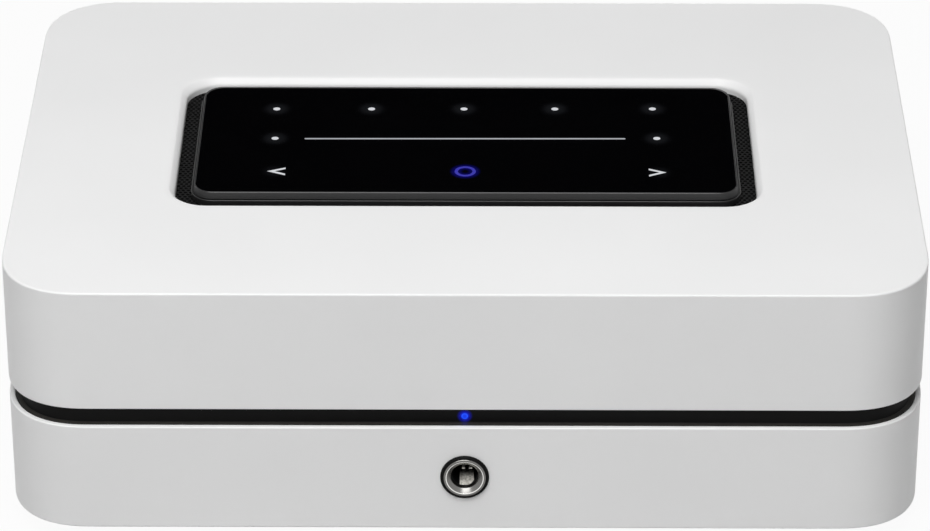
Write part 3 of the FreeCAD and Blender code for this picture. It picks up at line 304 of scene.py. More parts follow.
def grain(tree, shader, place, size, depth, colours=None, spread=None, detail=3.0, roughness=None):
    """Bumps of a size and depth in millimetres, with a wider mottling of colour or of roughness."""
    fine = add(tree, "TexNoise", {"Scale": 1 / (size * mm), "Detail": detail, "Roughness": 0.55},
               {"Vector": place})
    join(shader, {"Normal": add(tree, "Bump", {"Distance": depth * mm, "Strength": 1.0}, {"Height": fine})})
    broad = spread or size * 20
    wide = add(tree, "TexNoise", {"Scale": 1 / (broad * mm), "Detail": 2.0}, {"Vector": place})
    if colours:
        join(shader, {"Base Color": add(tree, "ValToRGB", {}, {"Fac": wide}, zip((0.3, 0.7), colours))})
    if roughness:
        low, high = roughness
        join(shader, {"Roughness": add(tree, "MapRange", {"To Min": low, "To Max": high}, {"Value": wide})})


def grained(name, colour, roughness, *pattern, **values):
    """A material with that grain and nothing more."""
    material, tree, shader, place = new_material(name, colour, roughness, **values)
    grain(tree, shader, place, *pattern)
    return material


def dress(piece, material, body="case"):
    """Gives a new piece its material and the body that it rides on."""
    piece.data.materials.clear()
    piece.data.materials.append(material)
    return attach(piece, body)


# Satin lacquer on ABS: an even white with a broad, soft gloss, and the faint orange peel that a
# sprayed coat keeps, here 1.6 mm across and a few microns deep.
white_lacquer = grained("satin_white_lacquer", "#F1F1F1", 0.42, 1.6, 0.004, ("#F0F0F0", "#F3F3F3"), 60, 2.0,
                        (0.40, 0.46), IOR=1.47)
for piece, node in ((upper_shell, "upper_shell"), (high_columns, "upper_shell"),
                    (lower_shell, "lower_shell"), (low_columns, "lower_shell")):
    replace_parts(dress(piece, white_lacquer), node)

# Seam band
# A black ABS ring between the shells, set back from them, with a foot that fills the rim of the
# lower shell. It is moulded with a fine spark texture that swallows light; its foot has painted light.
band_recess, band_inside, band_tuck = 2.8, 5.0, 3.0
band = [
    (band_recess, upper_rim + band_tuck), (band_recess, lower_rim + 0.3), (band_recess - 0.15, lower_rim),
    (ledge_inset + 0.2, lower_rim), (ledge_inset + 0.05, lower_rim - 0.15),
    (ledge_inset + 0.05, lower_rim - ledge_height), (band_recess, lower_rim - ledge_height),
    (band_recess, lower_rim - band_tuck), (band_inside, lower_rim - band_tuck),
    (band_inside, upper_rim + band_tuck)]
seam_band = skin("seam_band_ring", [case_ring(*p) for p in band], closed=True)
status_z, lens_radius = 35.1, 1.1
cut_away(seam_band, [[tube_points(0, status_z, lens_radius + 0.05, front + y, 32) for y in (1.0, 8.0)]])
cut_away(seam_band, [panel_hole()])
black_band, tree, shader, place = new_material("spark_textured_black_abs", "#070707", 0.55,
                                               Specular_IOR_Level=0.12, Emission_Strength=1.0)
grain(tree, shader, place, 0.25, 0.01)
# Faces that look upwards are painted lighter: painted light on the top of the foot.
way = add(tree, "SeparateXYZ", {}, {"Vector": add(tree, "NewGeometry").outputs["True Normal"]})
upward = add(tree, "MapRange", {"From Min": 0.6, "From Max": 0.95}, {"Value": way.outputs["Z"]})
painted_light_tone = add(tree, "MixRGB", {"Color1": "#060606", "Color2": "#3A3936"}, {"Fac": upward})


def off_axis(x, z):
    """How far a point lies from a line that runs front to back through (x, z), in metres."""
    centred = add(tree, "VectorMath", {1: (x * mm, 0, z * mm)}, {0: place}, operation="SUBTRACT")
    flat = add(tree, "VectorMath", {1: (1, 0, 1)}, {0: centred}, operation="MULTIPLY")
    return add(tree, "VectorMath", {}, {0: flat}, operation="LENGTH")


# A little of the status light spills onto the band round its lens.
spill = add(tree, "MapRange", {"From Min": 1.0 * mm, "From Max": 2.0 * mm, "To Min": 1.0, "To Max": 0.0},
            {"Value": off_axis(0, status_z)}, interpolation_type="SMOOTHSTEP")
halo = add(tree, "MixRGB", {"Color1": "#000000", "Color2": "#0A0E8C"}, {"Fac": spill})
join(shader, {"Base Color": painted_light_tone, "Emission Color": halo})
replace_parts(dress(seam_band, black_band), "seam_band")

# Status light
# A blue-tinted acrylic rod pressed into the band, lit from behind by a lamp on a small board. Its
# dome is deep blue in the middle, with a paler ring where the rod's wall guides the light out.
# A profile that closes on its axis stops a hundredth of a millimetre short of it.
axis = 0.01
lens_face, dome_rise = front + 3.0, 0.45
rods = [(lens_radius, front + 5.0), (lens_radius, lens_face)]
rods += [(max(lens_radius * math.cos(a), axis), lens_face - dome_rise * math.sin(a))
         for a in np.linspace(0, math.pi / 2, 9)]
status_lens = turned("status_lens_dome", tube_points, [(0, status_z)], rods, count=32)
blue_lens, tree, shader, place = new_material("lit_blue_acrylic", "#050A40", 0.3, Specular_IOR_Level=0.1,
                                              Emission_Strength=1.0)
outward = add(tree, "MapRange", {"From Min": 0.0, "From Max": lens_radius * mm},
              {"Value": off_axis(0, status_z)})
blues = ((0.0, "#1236DC"), (0.4, "#1640F0"), (0.62, "#2458FF"), (0.8, "#1024C4"), (1.0, "#080C88"))
join(shader, {"Emission Color": add(tree, "ValToRGB", {}, {"Fac": outward}, blues)})
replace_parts(dress(status_lens, blue_lens), "status_lens")

# Feet
# Four discs of moulded rubber, 5 mm high, glued under the floor. Their edges are rounded and their
# faces dished, and the rubber is matt and slightly dusty.
foot_low, foot_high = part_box("feet")
foot_radius = 9.0
foot_x = foot_high.x / mm - foot_radius
foot_y = (foot_high.y - foot_low.y) / 2 / mm - foot_radius
foot_profile = [
    (axis, 0.5), (5.8, 0.5), (6.4, 0.0), (8.2, 0.0), (8.75, 0.25), (foot_radius, 0.8), (foot_radius, 4.2),
    (8.8, 5.0), (axis, 5.0)]
foot_places = [(side * foot_x, middle_y + back * foot_y) for side in (-1, 1) for back in (-1, 1)]
feet = turned("rubber_feet", level_circle, foot_places, foot_profile)
rubber = grained("moulded_black_rubber", "#161616", 0.8, 0.5, 0.02, ("#131313", "#1C1C1B"), 9, IOR=1.52)
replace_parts(dress(feet, rubber), "feet")

# Grille round the touch panel
# A 0.8 mm steel sheet with round holes punched in staggered rows, 1.25 mm apart, then painted matt
# black. It lies under the opening's edge, and air leaves through it.
grille_low, grille_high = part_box("vent_grille")
grille_top = grille_high.z / mm
bezel_x, bezel_y, bezel_corner = 67.4, 28.7, 5.8
hole_pitch, hole_radius, sheet_thickness = 1.25, 0.45, 0.8


def outside_by(x, y, half_a, half_b, size):
    """How far points lie outside a rectangle with round corners, below zero inside it."""
    over_x, over_y = np.abs(x) - (half_a - size), np.abs(y) - (half_b - size)
    beyond = np.hypot(np.maximum(over_x, 0), np.maximum(over_y, 0))
    return beyond + np.minimum(np.maximum(over_x, over_y), 0) - size


def perforated_sheet():
    """Six-sided cells, each with a twelve-sided hole through it, wherever the strip shows."""
    row_pitch = hole_pitch * math.sqrt(3) / 2
    rows, columns = int(2 * window_y / row_pitch) + 5, int(2 * window_x / hole_pitch) + 5
    row, column = np.meshgrid(np.arange(rows) - rows // 2, np.arange(columns) - columns // 2, indexing="ij")
    x, y = (column + 0.5 * (row % 2)) * hole_pitch, row * row_pitch
    shown = outside_by(x, y, window_x, window_y, window_corner) < 0.8
    shown &= outside_by(x, y, bezel_x, bezel_y, bezel_corner) > -0.9
    centres = np.stack((x[shown], y[shown]), 1)
    step = np.arange(12)
    turn = step * math.pi / 6
    reach = np.where(step % 2, hole_pitch / math.sqrt(3), hole_pitch / 2)
    round_way = np.stack((np.cos(turn), np.sin(turn)), 1)
    outer, inner = round_way * reach[:, None], round_way * hole_radius
    levels = ((outer, 0.0), (inner, 0.0), (inner, -sheet_thickness), (outer, -sheet_thickness))
    flat = np.concatenate([centres[:, None, :] + shape for shape, _ in levels], axis=1)
    height = grille_top + np.repeat([z for _, z in levels], 12)
    points = np.concatenate((flat, np.broadcast_to(height, flat.shape[:2])[..., None]), axis=2)
    points[..., 1] += middle_y
    beside = (step + 1) % 12
    faces = np.concatenate([np.stack((step, beside, beside + 12, step + 12), 1) + 12 * k for k in range(3)])
    faces = faces[None] + (np.arange(len(centres)) * 48)[:, None, None]
    return points.reshape(-1, 3), faces.reshape(-1, 4).tolist()


cells = new_mesh("grille_mesh", *perforated_sheet(), outward=False, sharp=40)
black_paint = grained("matt_black_paint_on_steel", "#0A0A0B", 0.6, 0.3, 0.006, ("#080808", "#0C0C0D"), 15,
                      Specular_IOR_Level=0.15)
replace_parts(dress(cells, black_paint), "vent_grille")
flange_x, flange_y = (grille_high.x - grille_low.x) / 2 / mm, (grille_high.y - grille_low.y) / 2 / mm
flange_low, flange_high = grille_top - sheet_thickness, grille_top - 0.02
outside, inside = (
    [ring(half_a, half_b, window_corner, 2.0, 0.0, z) for z in (flange_low, flange_high)]
    for half_a, half_b in ((flange_x, flange_y), (window_x + 0.4, window_y + 0.4)))
flange = skin("grille_flange", outside + inside[::-1], closed=True)
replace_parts(dress(flange, black_paint), "vent_grille")

# Touch panel's frame
# A satin black ABS frame round the glass, with a steep chamfer over a fine groove, and a tray below
# that clips into the grille. Its wall under the groove is painted lighter, as painted light.
bezel_low, bezel_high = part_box("touch_bezel")
bezel_top, tray_bottom = bezel_high.z / mm, bezel_low.z / mm
side_inset, slope_inset, glass_edge = 0.1, 0.45, 1.0
glass_thickness, shoulder, bezel_wall, tray_floor = 1.8, 3.2, 1.5, 1.5
groove_z, slope_z, seat_z = bezel_top - 2.0, bezel_top - 1.65, bezel_top - glass_thickness


def bezel_ring(inset, z):
    """The frame's outline, moved inwards by inset, but by less at the front and back of its top,
    with corners that stay round."""
    less = 0.4 if slope_inset <= inset < shoulder else 0.0
    size = max(bezel_corner - inset, 0.4)
    return ring(bezel_x - inset, bezel_y - inset + less, size, 2.0, 0.0, z, 14)


frame_profile = [
    (shoulder, tray_bottom), (shoulder, grille_top), (side_inset, grille_top), (side_inset, groove_z - 0.2),
    (side_inset + 0.05, groove_z - 0.06), (side_inset + 0.15, groove_z), (slope_inset + 0.3, groove_z),
    (slope_inset + 0.3, slope_z - 0.06), (slope_inset + 0.04, slope_z), (slope_inset, slope_z + 0.06),
    (slope_inset + 0.03, slope_z + 0.16), (glass_edge - 0.1, bezel_top - 0.2),
    (glass_edge - 0.04, bezel_top - 0.06), (glass_edge + 0.02, bezel_top), (glass_edge + 0.1, bezel_top),
    (glass_edge + 0.14, bezel_top - 0.1), (glass_edge + 0.14, seat_z), (shoulder + bezel_wall, seat_z),
    (shoulder + bezel_wall, tray_bottom + tray_floor)]
touch_frame = skin("touch_frame", [bezel_ring(*p) for p in frame_profile], caps=True, sharp=50)
satin_black, tree, shader, place = new_material("satin_black_abs", "#0D0D0E", 0.3, IOR=1.5)
grain(tree, shader, place, 0.8, 0.0015, None, 25, 2.0, (0.27, 0.34))
# Below the groove the black is painted lighter: painted light on the wall under the groove.
way = add(tree, "SeparateXYZ", {}, {"Vector": place})
under = add(tree, "Math", {1: (groove_z + 0.02) * mm}, {0: way.outputs["Z"]}, operation="LESS_THAN")
painted_light_tone = add(tree, "MixRGB", {"Color1": "#0D0D0E", "Color2": "#1B1B1B"}, {"Fac": under})
join(shader, {"Base Color": painted_light_tone})
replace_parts(dress(touch_frame, satin_black), "touch_bezel")

# Cover glass
# A sheet of toughened glass, painted black on its back apart from the signs. It lies flush in the
# frame, and it is clean and almost mirror smooth. The lit signs spread a faint halo through it.
glass_inset = glass_edge + 0.2
glass_profile = [
    (glass_inset, seat_z), (glass_inset, bezel_top - 0.12), (glass_inset + 0.03, bezel_top - 0.04),
    (glass_inset + 0.12, bezel_top), (glass_inset + 0.4, bezel_top)]
cover_glass = skin("cover_glass", [bezel_ring(*p) for p in glass_profile], caps=True, sharp=60)
preset_dots = [(-47.9, 15.9), (-24.0, 16.0), (-0.7, 16.1), (22.2, 16.2), (46.8, 16.35)]
volume_dots = [(-47.65, 0.05), (47.4, 0.45)]
arrow_tips, ring_at, ring_radii = [(-48.9, -17.2), (49.2, -17.4)], (-0.2, -17.1), (2.6, 1.8)
slider_ends, slider_ys, slider_width = (-40.0, 39.3), (-0.1, 0.25), 0.6
black_glass, tree, shader, place = new_material("back_painted_glass", "#030304", 0.05, IOR=1.5,
                                                Emission_Strength=1.0)
smear = add(tree, "TexNoise", {"Scale": 30.0, "Detail": 3.0}, {"Vector": place})
join(shader, {"Roughness": add(tree, "MapRange", {"To Min": 0.03, "To Max": 0.07}, {"Value": smear})})


def away_from(x, y):
    """How far a point lies from a sign at (x, y) on the glass, in metres."""
    return add(tree, "VectorMath", {1: (x * mm, (y + middle_y) * mm, bezel_top * mm)}, {0: place},
               operation="DISTANCE")


def off_by(distance, radius):
    """How far a distance is from a radius given in millimetres."""
    over = add(tree, "Math", {1: radius * mm}, {0: distance}, operation="SUBTRACT")
    return add(tree, "Math", {}, {0: over}, operation="ABSOLUTE")


def fading(distance, near, far, power=1.0, kind="SMOOTHERSTEP"):
    """A value that falls from power to nothing between two distances in millimetres."""
    limits = {"From Min": near * mm, "From Max": far * mm, "To Min": power, "To Max": 0.0}
    return add(tree, "MapRange", limits, {"Value": distance}, interpolation_type=kind)


glows = [fading(away_from(x, y), 0.7, 5.2) for x, y in preset_dots + volume_dots]
glows += [fading(away_from(x + (1.8 if x < 0 else -1.8), y), 0.7, 4.6, 0.7) for x, y in arrow_tips]
bar_x, bar_y = sum(slider_ends) / 2, sum(slider_ys) / 2 + middle_y
from_bar = add(tree, "Mapping", {"Location": (-bar_x * mm, -bar_y * mm, -bezel_top * mm)}, {"Vector": place})
across_bar = add(tree, "VectorMath", {1: (0, 1, 1)}, {0: from_bar}, operation="MULTIPLY")
beside_bar = add(tree, "VectorMath", {}, {0: across_bar}, operation="LENGTH")
way = add(tree, "SeparateXYZ", {}, {"Vector": from_bar})
along_bar = add(tree, "Math", {}, {0: way.outputs["X"]}, operation="ABSOLUTE")
bar_ending = fading(along_bar, 38.5, 41, 1.0, "LINEAR")
total = add(tree, "Math", {}, {0: fading(beside_bar, 0.3, 2.2, 0.28), 1: bar_ending}, operation="MULTIPLY")
for glow in glows:
    total = add(tree, "Math", {}, {0: total, 1: glow}, operation="ADD")
total = add(tree, "Math", {1: 1.7}, {0: total}, operation="POWER")
white_halo = add(tree, "MixRGB", {"Color1": "#000000", "Color2": "#141517"}, {"Fac": total})
from_ring = fading(off_by(away_from(*ring_at), sum(ring_radii) / 2), 0.4, 1.8, 1.0, "SMOOTHSTEP")
halo = add(tree, "MixRGB", {"Color2": "#0A0858"}, {"Fac": from_ring, "Color1": white_halo})
join(shader, {"Emission Color": halo})
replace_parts(dress(cover_glass, black_glass), "touch_glass")

# Lit signs
# Clear windows in the glass's black paint, lit by white lamps through the light pipes, and by a
# blue one for the ring. Each is drawn as a skin a fiftieth of a millimetre above the glass.
sign_low, sign_high = bezel_top - 0.05, bezel_top + 0.02


def sign_ring(points):
    """A flat outline of a sign as its two levels, closed above and below."""
    return [laid(np.asarray(points, float) + (0, middle_y), z) for z in (sign_low, sign_high)]


def disc(x, y, radius, count=28, start=0.0, turn=2 * math.pi, squash=1.0):
    """Points on a circle or on part of one, flattened from front to back by squash."""
    angle = start + np.arange(count) * turn / count
    return np.column_stack((x + radius * np.cos(angle), y + squash * radius * np.sin(angle)))


def arrow(tip, open_x, rise, fall, thick=0.8):
    """An open arrow head, its two strokes of an even thickness and cut upright at their ends."""
    x, y = tip
    back = thick * (open_x - x) * 0.77 / rise
    upper_end, lower_end = y + rise, y - fall
    return [(open_x, upper_end + thick / 2), tip, (open_x, lower_end - thick / 2),
            (open_x, lower_end + thick / 2), (x + back, y), (open_x, upper_end - thick / 2)]


white_signs = [disc(x, y, 0.88, squash=0.9) for x, y in preset_dots + volume_dots]
white_signs += [arrow(arrow_tips[0], -44.4, 1.5, 1.7), arrow(arrow_tips[1], 44.9, 1.6, 1.7)]
lit_signs = several("lit_signs", [sign_ring(points) for points in white_signs], sharp=20)
bar_ends = [disc(slider_ends[k], slider_ys[k], slider_width / 2, 13, start, math.pi * 13 / 12)
            for k, start in ((1, -math.pi / 2), (0, math.pi / 2))]
lit_bar = several("lit_slider", [sign_ring(np.vstack(bar_ends))], sharp=20)
outside, inside = (sign_ring(disc(*ring_at, radius, 48)) for radius in ring_radii)
play_ring = skin("lit_ring", outside + inside[::-1], closed=True, sharp=20)


def lit_window(piece, name, dim, bright, size):
    """The finish of a lit window: light that is a little uneven, as through a moulded light pipe."""
    material, tree, shader, place = new_material(name, "#050506", 0.3, Emission_Strength=1.0)
    uneven = add(tree, "TexNoise", {"Scale": 1 / (size * mm)}, {"Vector": place})
    light = add(tree, "ValToRGB", {}, {"Fac": uneven}, ((0.0, dim), (1.0, bright)))
    join(shader, {"Emission Color": light})
    dress(piece, material)


lit_window(lit_signs, "lit_white_window", "#C2C4C9", "#D8DADE", 6.0)
lit_window(lit_bar, "lit_slider_window", "#9A9DA3", "#B4B7BD", 8.0)
lit_window(play_ring, "lit_blue_window", "#15129A", "#1F1AAC", 3.0)

# Headphone socket
# A matt black nylon ring lies on the case round a turned nickel nut, which has a painted highlight
# round its mouth and a cone down to its lip. Inside are the moulded body and three sprung leaves.
collar_radius, nut_radius, flange_radius, nut_mouth, nut_hole = 5.85, 4.7, 5.12, 4.45, 3.35
collar_face, lip_y, nut_end = front - 0.8, front + 0.2, front + 1.1
collar_profile = [(nut_radius + 0.05, front), (nut_radius + 0.05, collar_face + 0.4),
                  (flange_radius + 0.05, collar_face + 0.3), (flange_radius + 0.1, collar_face + 0.05),
                  (flange_radius + 0.15, collar_face), (collar_radius - 0.5, collar_face)]
collar_profile += [(collar_radius - 0.5 + 0.5 * math.sin(a), collar_face + 0.5 - 0.5 * math.cos(a))
                   for a in np.linspace(0.25, math.pi / 2, 6)] + [(collar_radius, front)]
jack_ring = turned("headphone_ring", tube_points, [(0, jack_z)], collar_profile, True, 96)
ring_black = grained("matt_black_nylon", "#060606", 0.5, 0.3, 0.004, ("#050505", "#080808"), 6,
                     Specular_IOR_Level=0.08)
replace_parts(dress(jack_ring, ring_black), "jack_collar")

nut_profile = [
    (nut_radius, nut_end), (nut_radius, collar_face + 0.35), (flange_radius, collar_face + 0.25),
    (flange_radius, collar_face + 0.12), (flange_radius - 0.1, collar_face + 0.02),
    (flange_radius - 0.2, collar_face), (nut_mouth + 0.1, collar_face), (nut_mouth, collar_face + 0.03),
    (nut_mouth - 0.12, collar_face + 0.12), (nut_hole + 0.12, lip_y - 0.1), (nut_hole + 0.03, lip_y),
    (nut_hole, lip_y + 0.1), (nut_hole, nut_end)]
jack_nut = turned("headphone_nut", tube_points, [(0, jack_z)], nut_profile, True, 96)
# Dark nickel with fine turning marks, and a painted highlight 0.1 mm wide round the mouth's edge.
turned_nickel, tree, shader, place = new_material("turned_dark_nickel_with_painted_highlight", "#737270", 0.27,
                                                  Metallic=1.0)
grain(tree, shader, place, 0.2, 0.0006)
# A ring 0.1 mm wide round the mouth is painted bright: a painted highlight, not a cut edge.
painted_edge_highlight = fading(off_by(off_axis(0, jack_z), nut_mouth), 0.04, 0.14, 1.0, "LINEAR")
nickel_with_painted_highlight = add(tree, "MixRGB", {"Color1": "#737270", "Color2": "#F0EFEC"}, {"Fac": painted_edge_highlight})
join(shader, {"Base Color": nickel_with_painted_highlight})
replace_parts(dress(jack_nut, turned_nickel), "jack_nut")
# Bright nickel plate, for the sockets behind: a sharp mirror, softened a little by handling.
nickel = grained("turned_bright_nickel", "#C9C8C5", 0.2, 0.2, 0.0006, ("#C2C1BE", "#D2D1CE"), 5, 2.0,
                 (0.16, 0.26), Metallic=1.0)


def finish(material, *names):
    """Puts a material on CAD nodes that keep their own shape."""
    for name in names:
        nodes[name].data.materials.clear()
        nodes[name].data.materials.append(material)


def leaf(side, x, half_width, path):
    """A sprung leaf 0.3 mm thick: a strip along a path of (y, distance from the socket's axis),
    drawn smooth through the path's points."""
    knots = np.array(path)
    y = np.linspace(knots[0, 0], knots[-1, 0], 25)
    level = np.interp(y, knots[:, 0], knots[:, 1])
    level[1:-1] = (level[:-2] + level[1:-1] + level[2:]) / 3
    inner, outer = jack_z + side * level, jack_z + side * (level + 0.3)
    left, right = x - half_width, x + half_width
    return [stood(np.array([(left, a), (right, a), (right, b), (left, b)]), at)
            for at, a, b in zip(y, inner, outer)]


leaf_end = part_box("jack_contacts")[1].y / mm
low_leaf = [(front + 1.3, 3.1), (front + 4.4, 0.9), (front + 5.0, 0.8), (front + 8.5, 3.6), (leaf_end, 3.6)]
prong = [(front + 1.5, 1.3), (front + 1.8, 1.5), (front + 5.0, 3.6), (leaf_end, 3.6)]
# Nickel silver, rolled and worn by plugs, so that it is grey, mottled and only softly bright.
nickel_silver = grained("sprung_nickel_silver", "#94928C", 0.42, 0.3, 0.06, ("#6C6A65", "#B4B2AB"), 0.6,
                        3.0, (0.34, 0.5), Metallic=1.0)
leaves = [leaf(-1, 0.5, 1.7, low_leaf), leaf(1, -0.3, 0.35, prong), leaf(1, 1.4, 0.4, prong)]
leaves = several("headphone_leaves", leaves, sharp=25)
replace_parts(dress(leaves, nickel_silver), "jack_contacts")
# Glass-filled polyester, as most sockets are moulded from: dull black with a fine sparkle.
moulded = grained("moulded_black_pbt", "#0E0E0F", 0.5, 0.35, 0.006, ("#0B0B0C", "#131314"), 8,
                  Specular_IOR_Level=0.3)
finish(moulded, "jack_body")

# Rear panel
# A steel plate 2 mm thick, powder coated in black with a fine wrinkle, behind the shells' opening.
# Four pan-head screws of black zinc-plated steel, with cross recesses, hold it to the tray.
panel_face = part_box("rear_panel")[1].y / mm
powder = grained("black_powder_coat", "#121213", 0.5, 0.45, 0.03, ("#0F0F10", "#171718"), 12, IOR=1.5)
finish(powder, "rear_panel")
recess_reach, recess_half = 1.35, 0.32


def recess(place, shape, levels):
    """A cross recess round a place, as the twelve corners of a plus sign at two levels."""
    quarter = np.array(((recess_half, recess_reach), (recess_half, recess_half), (recess_reach, recess_half)))
    turns = [quarter, quarter[:, ::-1] * (1, -1), -quarter, quarter[:, ::-1] * (-1, 1)]
    return [shape(np.vstack(turns) + place, level) for level in levels]


screw_low, screw_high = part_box("panel_screws")
head_radius, head_end, shank_end, shank_radius = 2.7, screw_high.y / mm, screw_low.y / mm, 1.45
screw_places = [(side * (screw_high.x / mm - head_radius), z) for side in (-1, 1) for z in (17.0, 53.0)]
pan_head = [
    (axis, shank_end), (1.0, shank_end), (shank_radius, shank_end + 0.5), (shank_radius, panel_face),
    (head_radius, panel_face), (head_radius, panel_face + 0.5), (head_radius - 0.12, panel_face + 0.85),
    (head_radius - 0.5, head_end - 0.2), (head_radius - 1.1, head_end), (axis, head_end)]
panel_screws = turned("panel_screw_heads", tube_points, screw_places, pan_head, count=40)
cut_away(panel_screws, [recess(place, stood, (head_end - 0.9, head_end + 1)) for place in screw_places])
black_zinc = grained("black_zinc_plated_steel", "#3A3A3C", 0.38, 0.25, 0.004, ("#303033", "#454547"), 3,
                     3.0, (0.3, 0.48), Metallic=1.0)
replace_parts(dress(panel_screws, black_zinc), "panel_screws")

# Long shell screws
# Four zinc-plated screws in wells under the floor, each through the lower column into the upper.
# Their pan heads have cross recesses too, and the thread shows as fine rings.
shell_screw_low, shell_screw_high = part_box("shell_screws")
seat, tip = shell_screw_low.z / mm, shell_screw_high.z / mm
thread = [(1.2 + 0.25 * (k % 2), z) for k, z in enumerate(np.arange(seat + 5.0, tip - 1.2, 0.6))]
long_screw = [(axis, seat), (1.5, seat), (2.3, seat + 0.25), (2.65, seat + 0.8), (2.7, seat + 2.0),
              (1.45, seat + 2.0), (1.45, seat + 4.6)] + thread + [(0.9, tip - 0.6), (axis, tip)]
shell_screws = turned("long_screws", level_circle, columns, long_screw, count=32)
cut_away(shell_screws, [recess(place, laid, (seat - 1, seat + 1.0)) for place in columns])
# Passivated zinc: a cool grey metal whose gloss changes in faint clouds.
zinc = grained("zinc_plated_steel", "#A9ACAF", 0.32, 0.4, 0.002, ("#9EA1A5", "#B6B8BA"), 6, 3.0,
               (0.25, 0.42), Metallic=1.0)
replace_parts(dress(shell_screws, zinc), "shell_screws")

# Network, USB and HDMI sockets
# The network socket is one moulded block with eight gold-flashed wires. The other two are folded,
# nickel-plated steel shells round a black tongue that carries flat contacts.


def softened(name, width, material, angle=40.0):
    """Replaces a CAD node by the same shape with its edges rounded to the given width."""
    shape = bmesh.new()
    shape.from_mesh(nodes[name].data)
    bmesh.ops.remove_doubles(shape, verts=shape.verts, dist=1e-6)
    bmesh.ops.dissolve_limit(shape, angle_limit=math.radians(1.5), verts=shape.verts, edges=shape.edges)
    bend = math.radians(angle)
    hard = [edge for edge in shape.edges if edge.is_manifold and edge.calc_face_angle() > bend]
    bmesh.ops.bevel(shape, geom=hard, offset=width * mm, segments=2, profile=0.5, affect="EDGES",
                    clamp_overlap=True)
    mesh = bpy.data.meshes.new(name + "_soft")
    shape.to_mesh(mesh)
    shape.free()
    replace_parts(dress(new_object(name + "_soft", mesh, 28), material), name)


softened("lan_socket", 0.25, moulded)
softened("usb_socket", 0.1, nickel)
softened("hdmi_socket", 0.1, nickel)
softened("port_tongues", 0.15, moulded)
# Brass with a thin flash of gold: warm, bright and a little uneven.
gold = grained("gold_flashed_brass", "#D9B56A", 0.22, 0.3, 0.001, ("#D0A95C", "#E2C07A"), 5, 2.0,
               (0.16, 0.3), Metallic=1.0)
finish(gold, "lan_contacts")


def strip(x, z, half_width, half_height, y0, y1):
    """A flat contact as a bar with a pointed end, from y0 back to y1."""
    flat = np.array(((-half_width, -half_height), (half_width, -half_height), (half_width, half_height),
                     (-half_width, half_height)))
    return [stood(flat * (share, 1) + (x, z), y) for y, share in ((y0, 1.0), (y1 - 0.3, 1.0), (y1, 0.6))]


usb_low, usb_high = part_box("usb_socket")
hdmi_low, hdmi_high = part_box("hdmi_socket")
usb_z, hdmi_z = usb_high.z / mm - 2.9, hdmi_high.z / mm - 2.8
usb_x, hdmi_x = (usb_low.x + usb_high.x) / 2 / mm, (hdmi_low.x + hdmi_high.x) / 2 / mm
strips = [strip(usb_x + k * 2.3, usb_z + 0.3, 0.5, 0.03, panel_face - 11, panel_face - 3.6)
          for k in (-1.5, -0.5, 0.5, 1.5)]
strips += [strip(hdmi_x + k * 1.0, hdmi_z + side * 0.55, 0.22, 0.03, panel_face - 9, panel_face - 2.5)
           for k in range(-4, 5) for side in (-1, 1)]
dress(several("socket_strips", strips, sharp=20), gold)

# Round sockets
# Two 3.5 mm sockets, one for an optical or analogue plug and one for an infrared receiver. Each has
# a smooth plastic nose with a chamfered mouth, and a nickel sleeve inside it.
softened("round_jacks", 0.2, moulded)
sleeve_xs, sleeve_z = (-14.0, -29.0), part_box("round_jacks")[1].z / mm - 3.5
sleeve = [(1.75, panel_face - 6), (1.75, panel_face + 0.35), (1.6, panel_face + 0.2), (1.5, panel_face),
          (1.5, panel_face - 6)]
sleeves = turned("round_sleeves", tube_points, [(x, sleeve_z) for x in sleeve_xs], sleeve, True, 40)
dress(sleeves, nickel)

# Subwoofer socket
# A phono socket: a turned nickel barrel with a rolled edge, round an insulated core with a hole for
# the plug's pin. The block behind it is black and the core is white nylon.
sub_low, sub_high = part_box("sub_out_barrel")
sub_x, sub_z = (sub_low.x + sub_high.x) / 2 / mm, (sub_low.z + sub_high.z) / 2 / mm
sub_start, sub_end, sub_radius = sub_low.y / mm, sub_high.y / mm, (sub_high.x - sub_low.x) / 2 / mm
barrel = [
    (sub_radius - 0.45, sub_start), (sub_radius - 0.45, sub_end - 0.2), (sub_radius - 0.35, sub_end),
    (sub_radius - 0.15, sub_end), (sub_radius, sub_end - 0.15), (sub_radius, sub_end - 0.9),
    (sub_radius - 0.12, sub_end - 1.2), (sub_radius - 0.12, sub_end - 1.5), (sub_radius, sub_end - 1.8),
    (sub_radius, sub_start)]
barrel = turned("phono_barrel", tube_points, [(sub_x, sub_z)], barrel, True, 72)
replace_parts(dress(barrel, nickel), "sub_out_barrel")
nylon, tree, shader, place = new_material("black_block_with_white_nylon_core", "#0E0E0F", 0.45, IOR=1.53)
grain(tree, shader, place, 0.35, 0.006)
way = add(tree, "SeparateXYZ", {}, {"Vector": place})
outside = add(tree, "Math", {1: (sub_start + 0.01) * mm}, {0: way.outputs["Y"]}, operation="GREATER_THAN")
core = add(tree, "Math", {1: (sub_radius - 0.2) * mm}, {0: off_axis(sub_x, sub_z)}, operation="LESS_THAN")
white_part = add(tree, "Math", {}, {0: outside, 1: core}, operation="MULTIPLY")
tone = add(tree, "MixRGB", {"Color1": "#0E0E0F", "Color2": "#DEDCD4"}, {"Fac": white_part})
join(shader, {"Base Color": tone})
softened("sub_out_body", 0.2, nylon)

# Mains inlet
# A figure-of-eight recess in a moulded block, with two nickel-plated pins that have rounded ends.
softened("mains_inlet", 0.35, moulded)
pin_low, pin_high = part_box("inlet_pins")
pin_radius, pin_start, pin_end = (pin_high.z - pin_low.z) / 2 / mm, pin_low.y / mm, pin_high.y / mm
pin_z = (pin_low.z + pin_high.z) / 2 / mm
pin_xs = (pin_low.x / mm + pin_radius, pin_high.x / mm - pin_radius)
pin = [(pin_radius, pin_start), (pin_radius, pin_end - 1.2), (pin_radius * 0.92, pin_end - 0.7),
       (pin_radius * 0.7, pin_end - 0.25), (pin_radius * 0.35, pin_end - 0.03), (axis, pin_end)]
pins = turned("inlet_pins_round", tube_points, [(x, pin_z) for x in pin_xs], pin, count=32)
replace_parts(dress(pins, nickel), "inlet_pins")

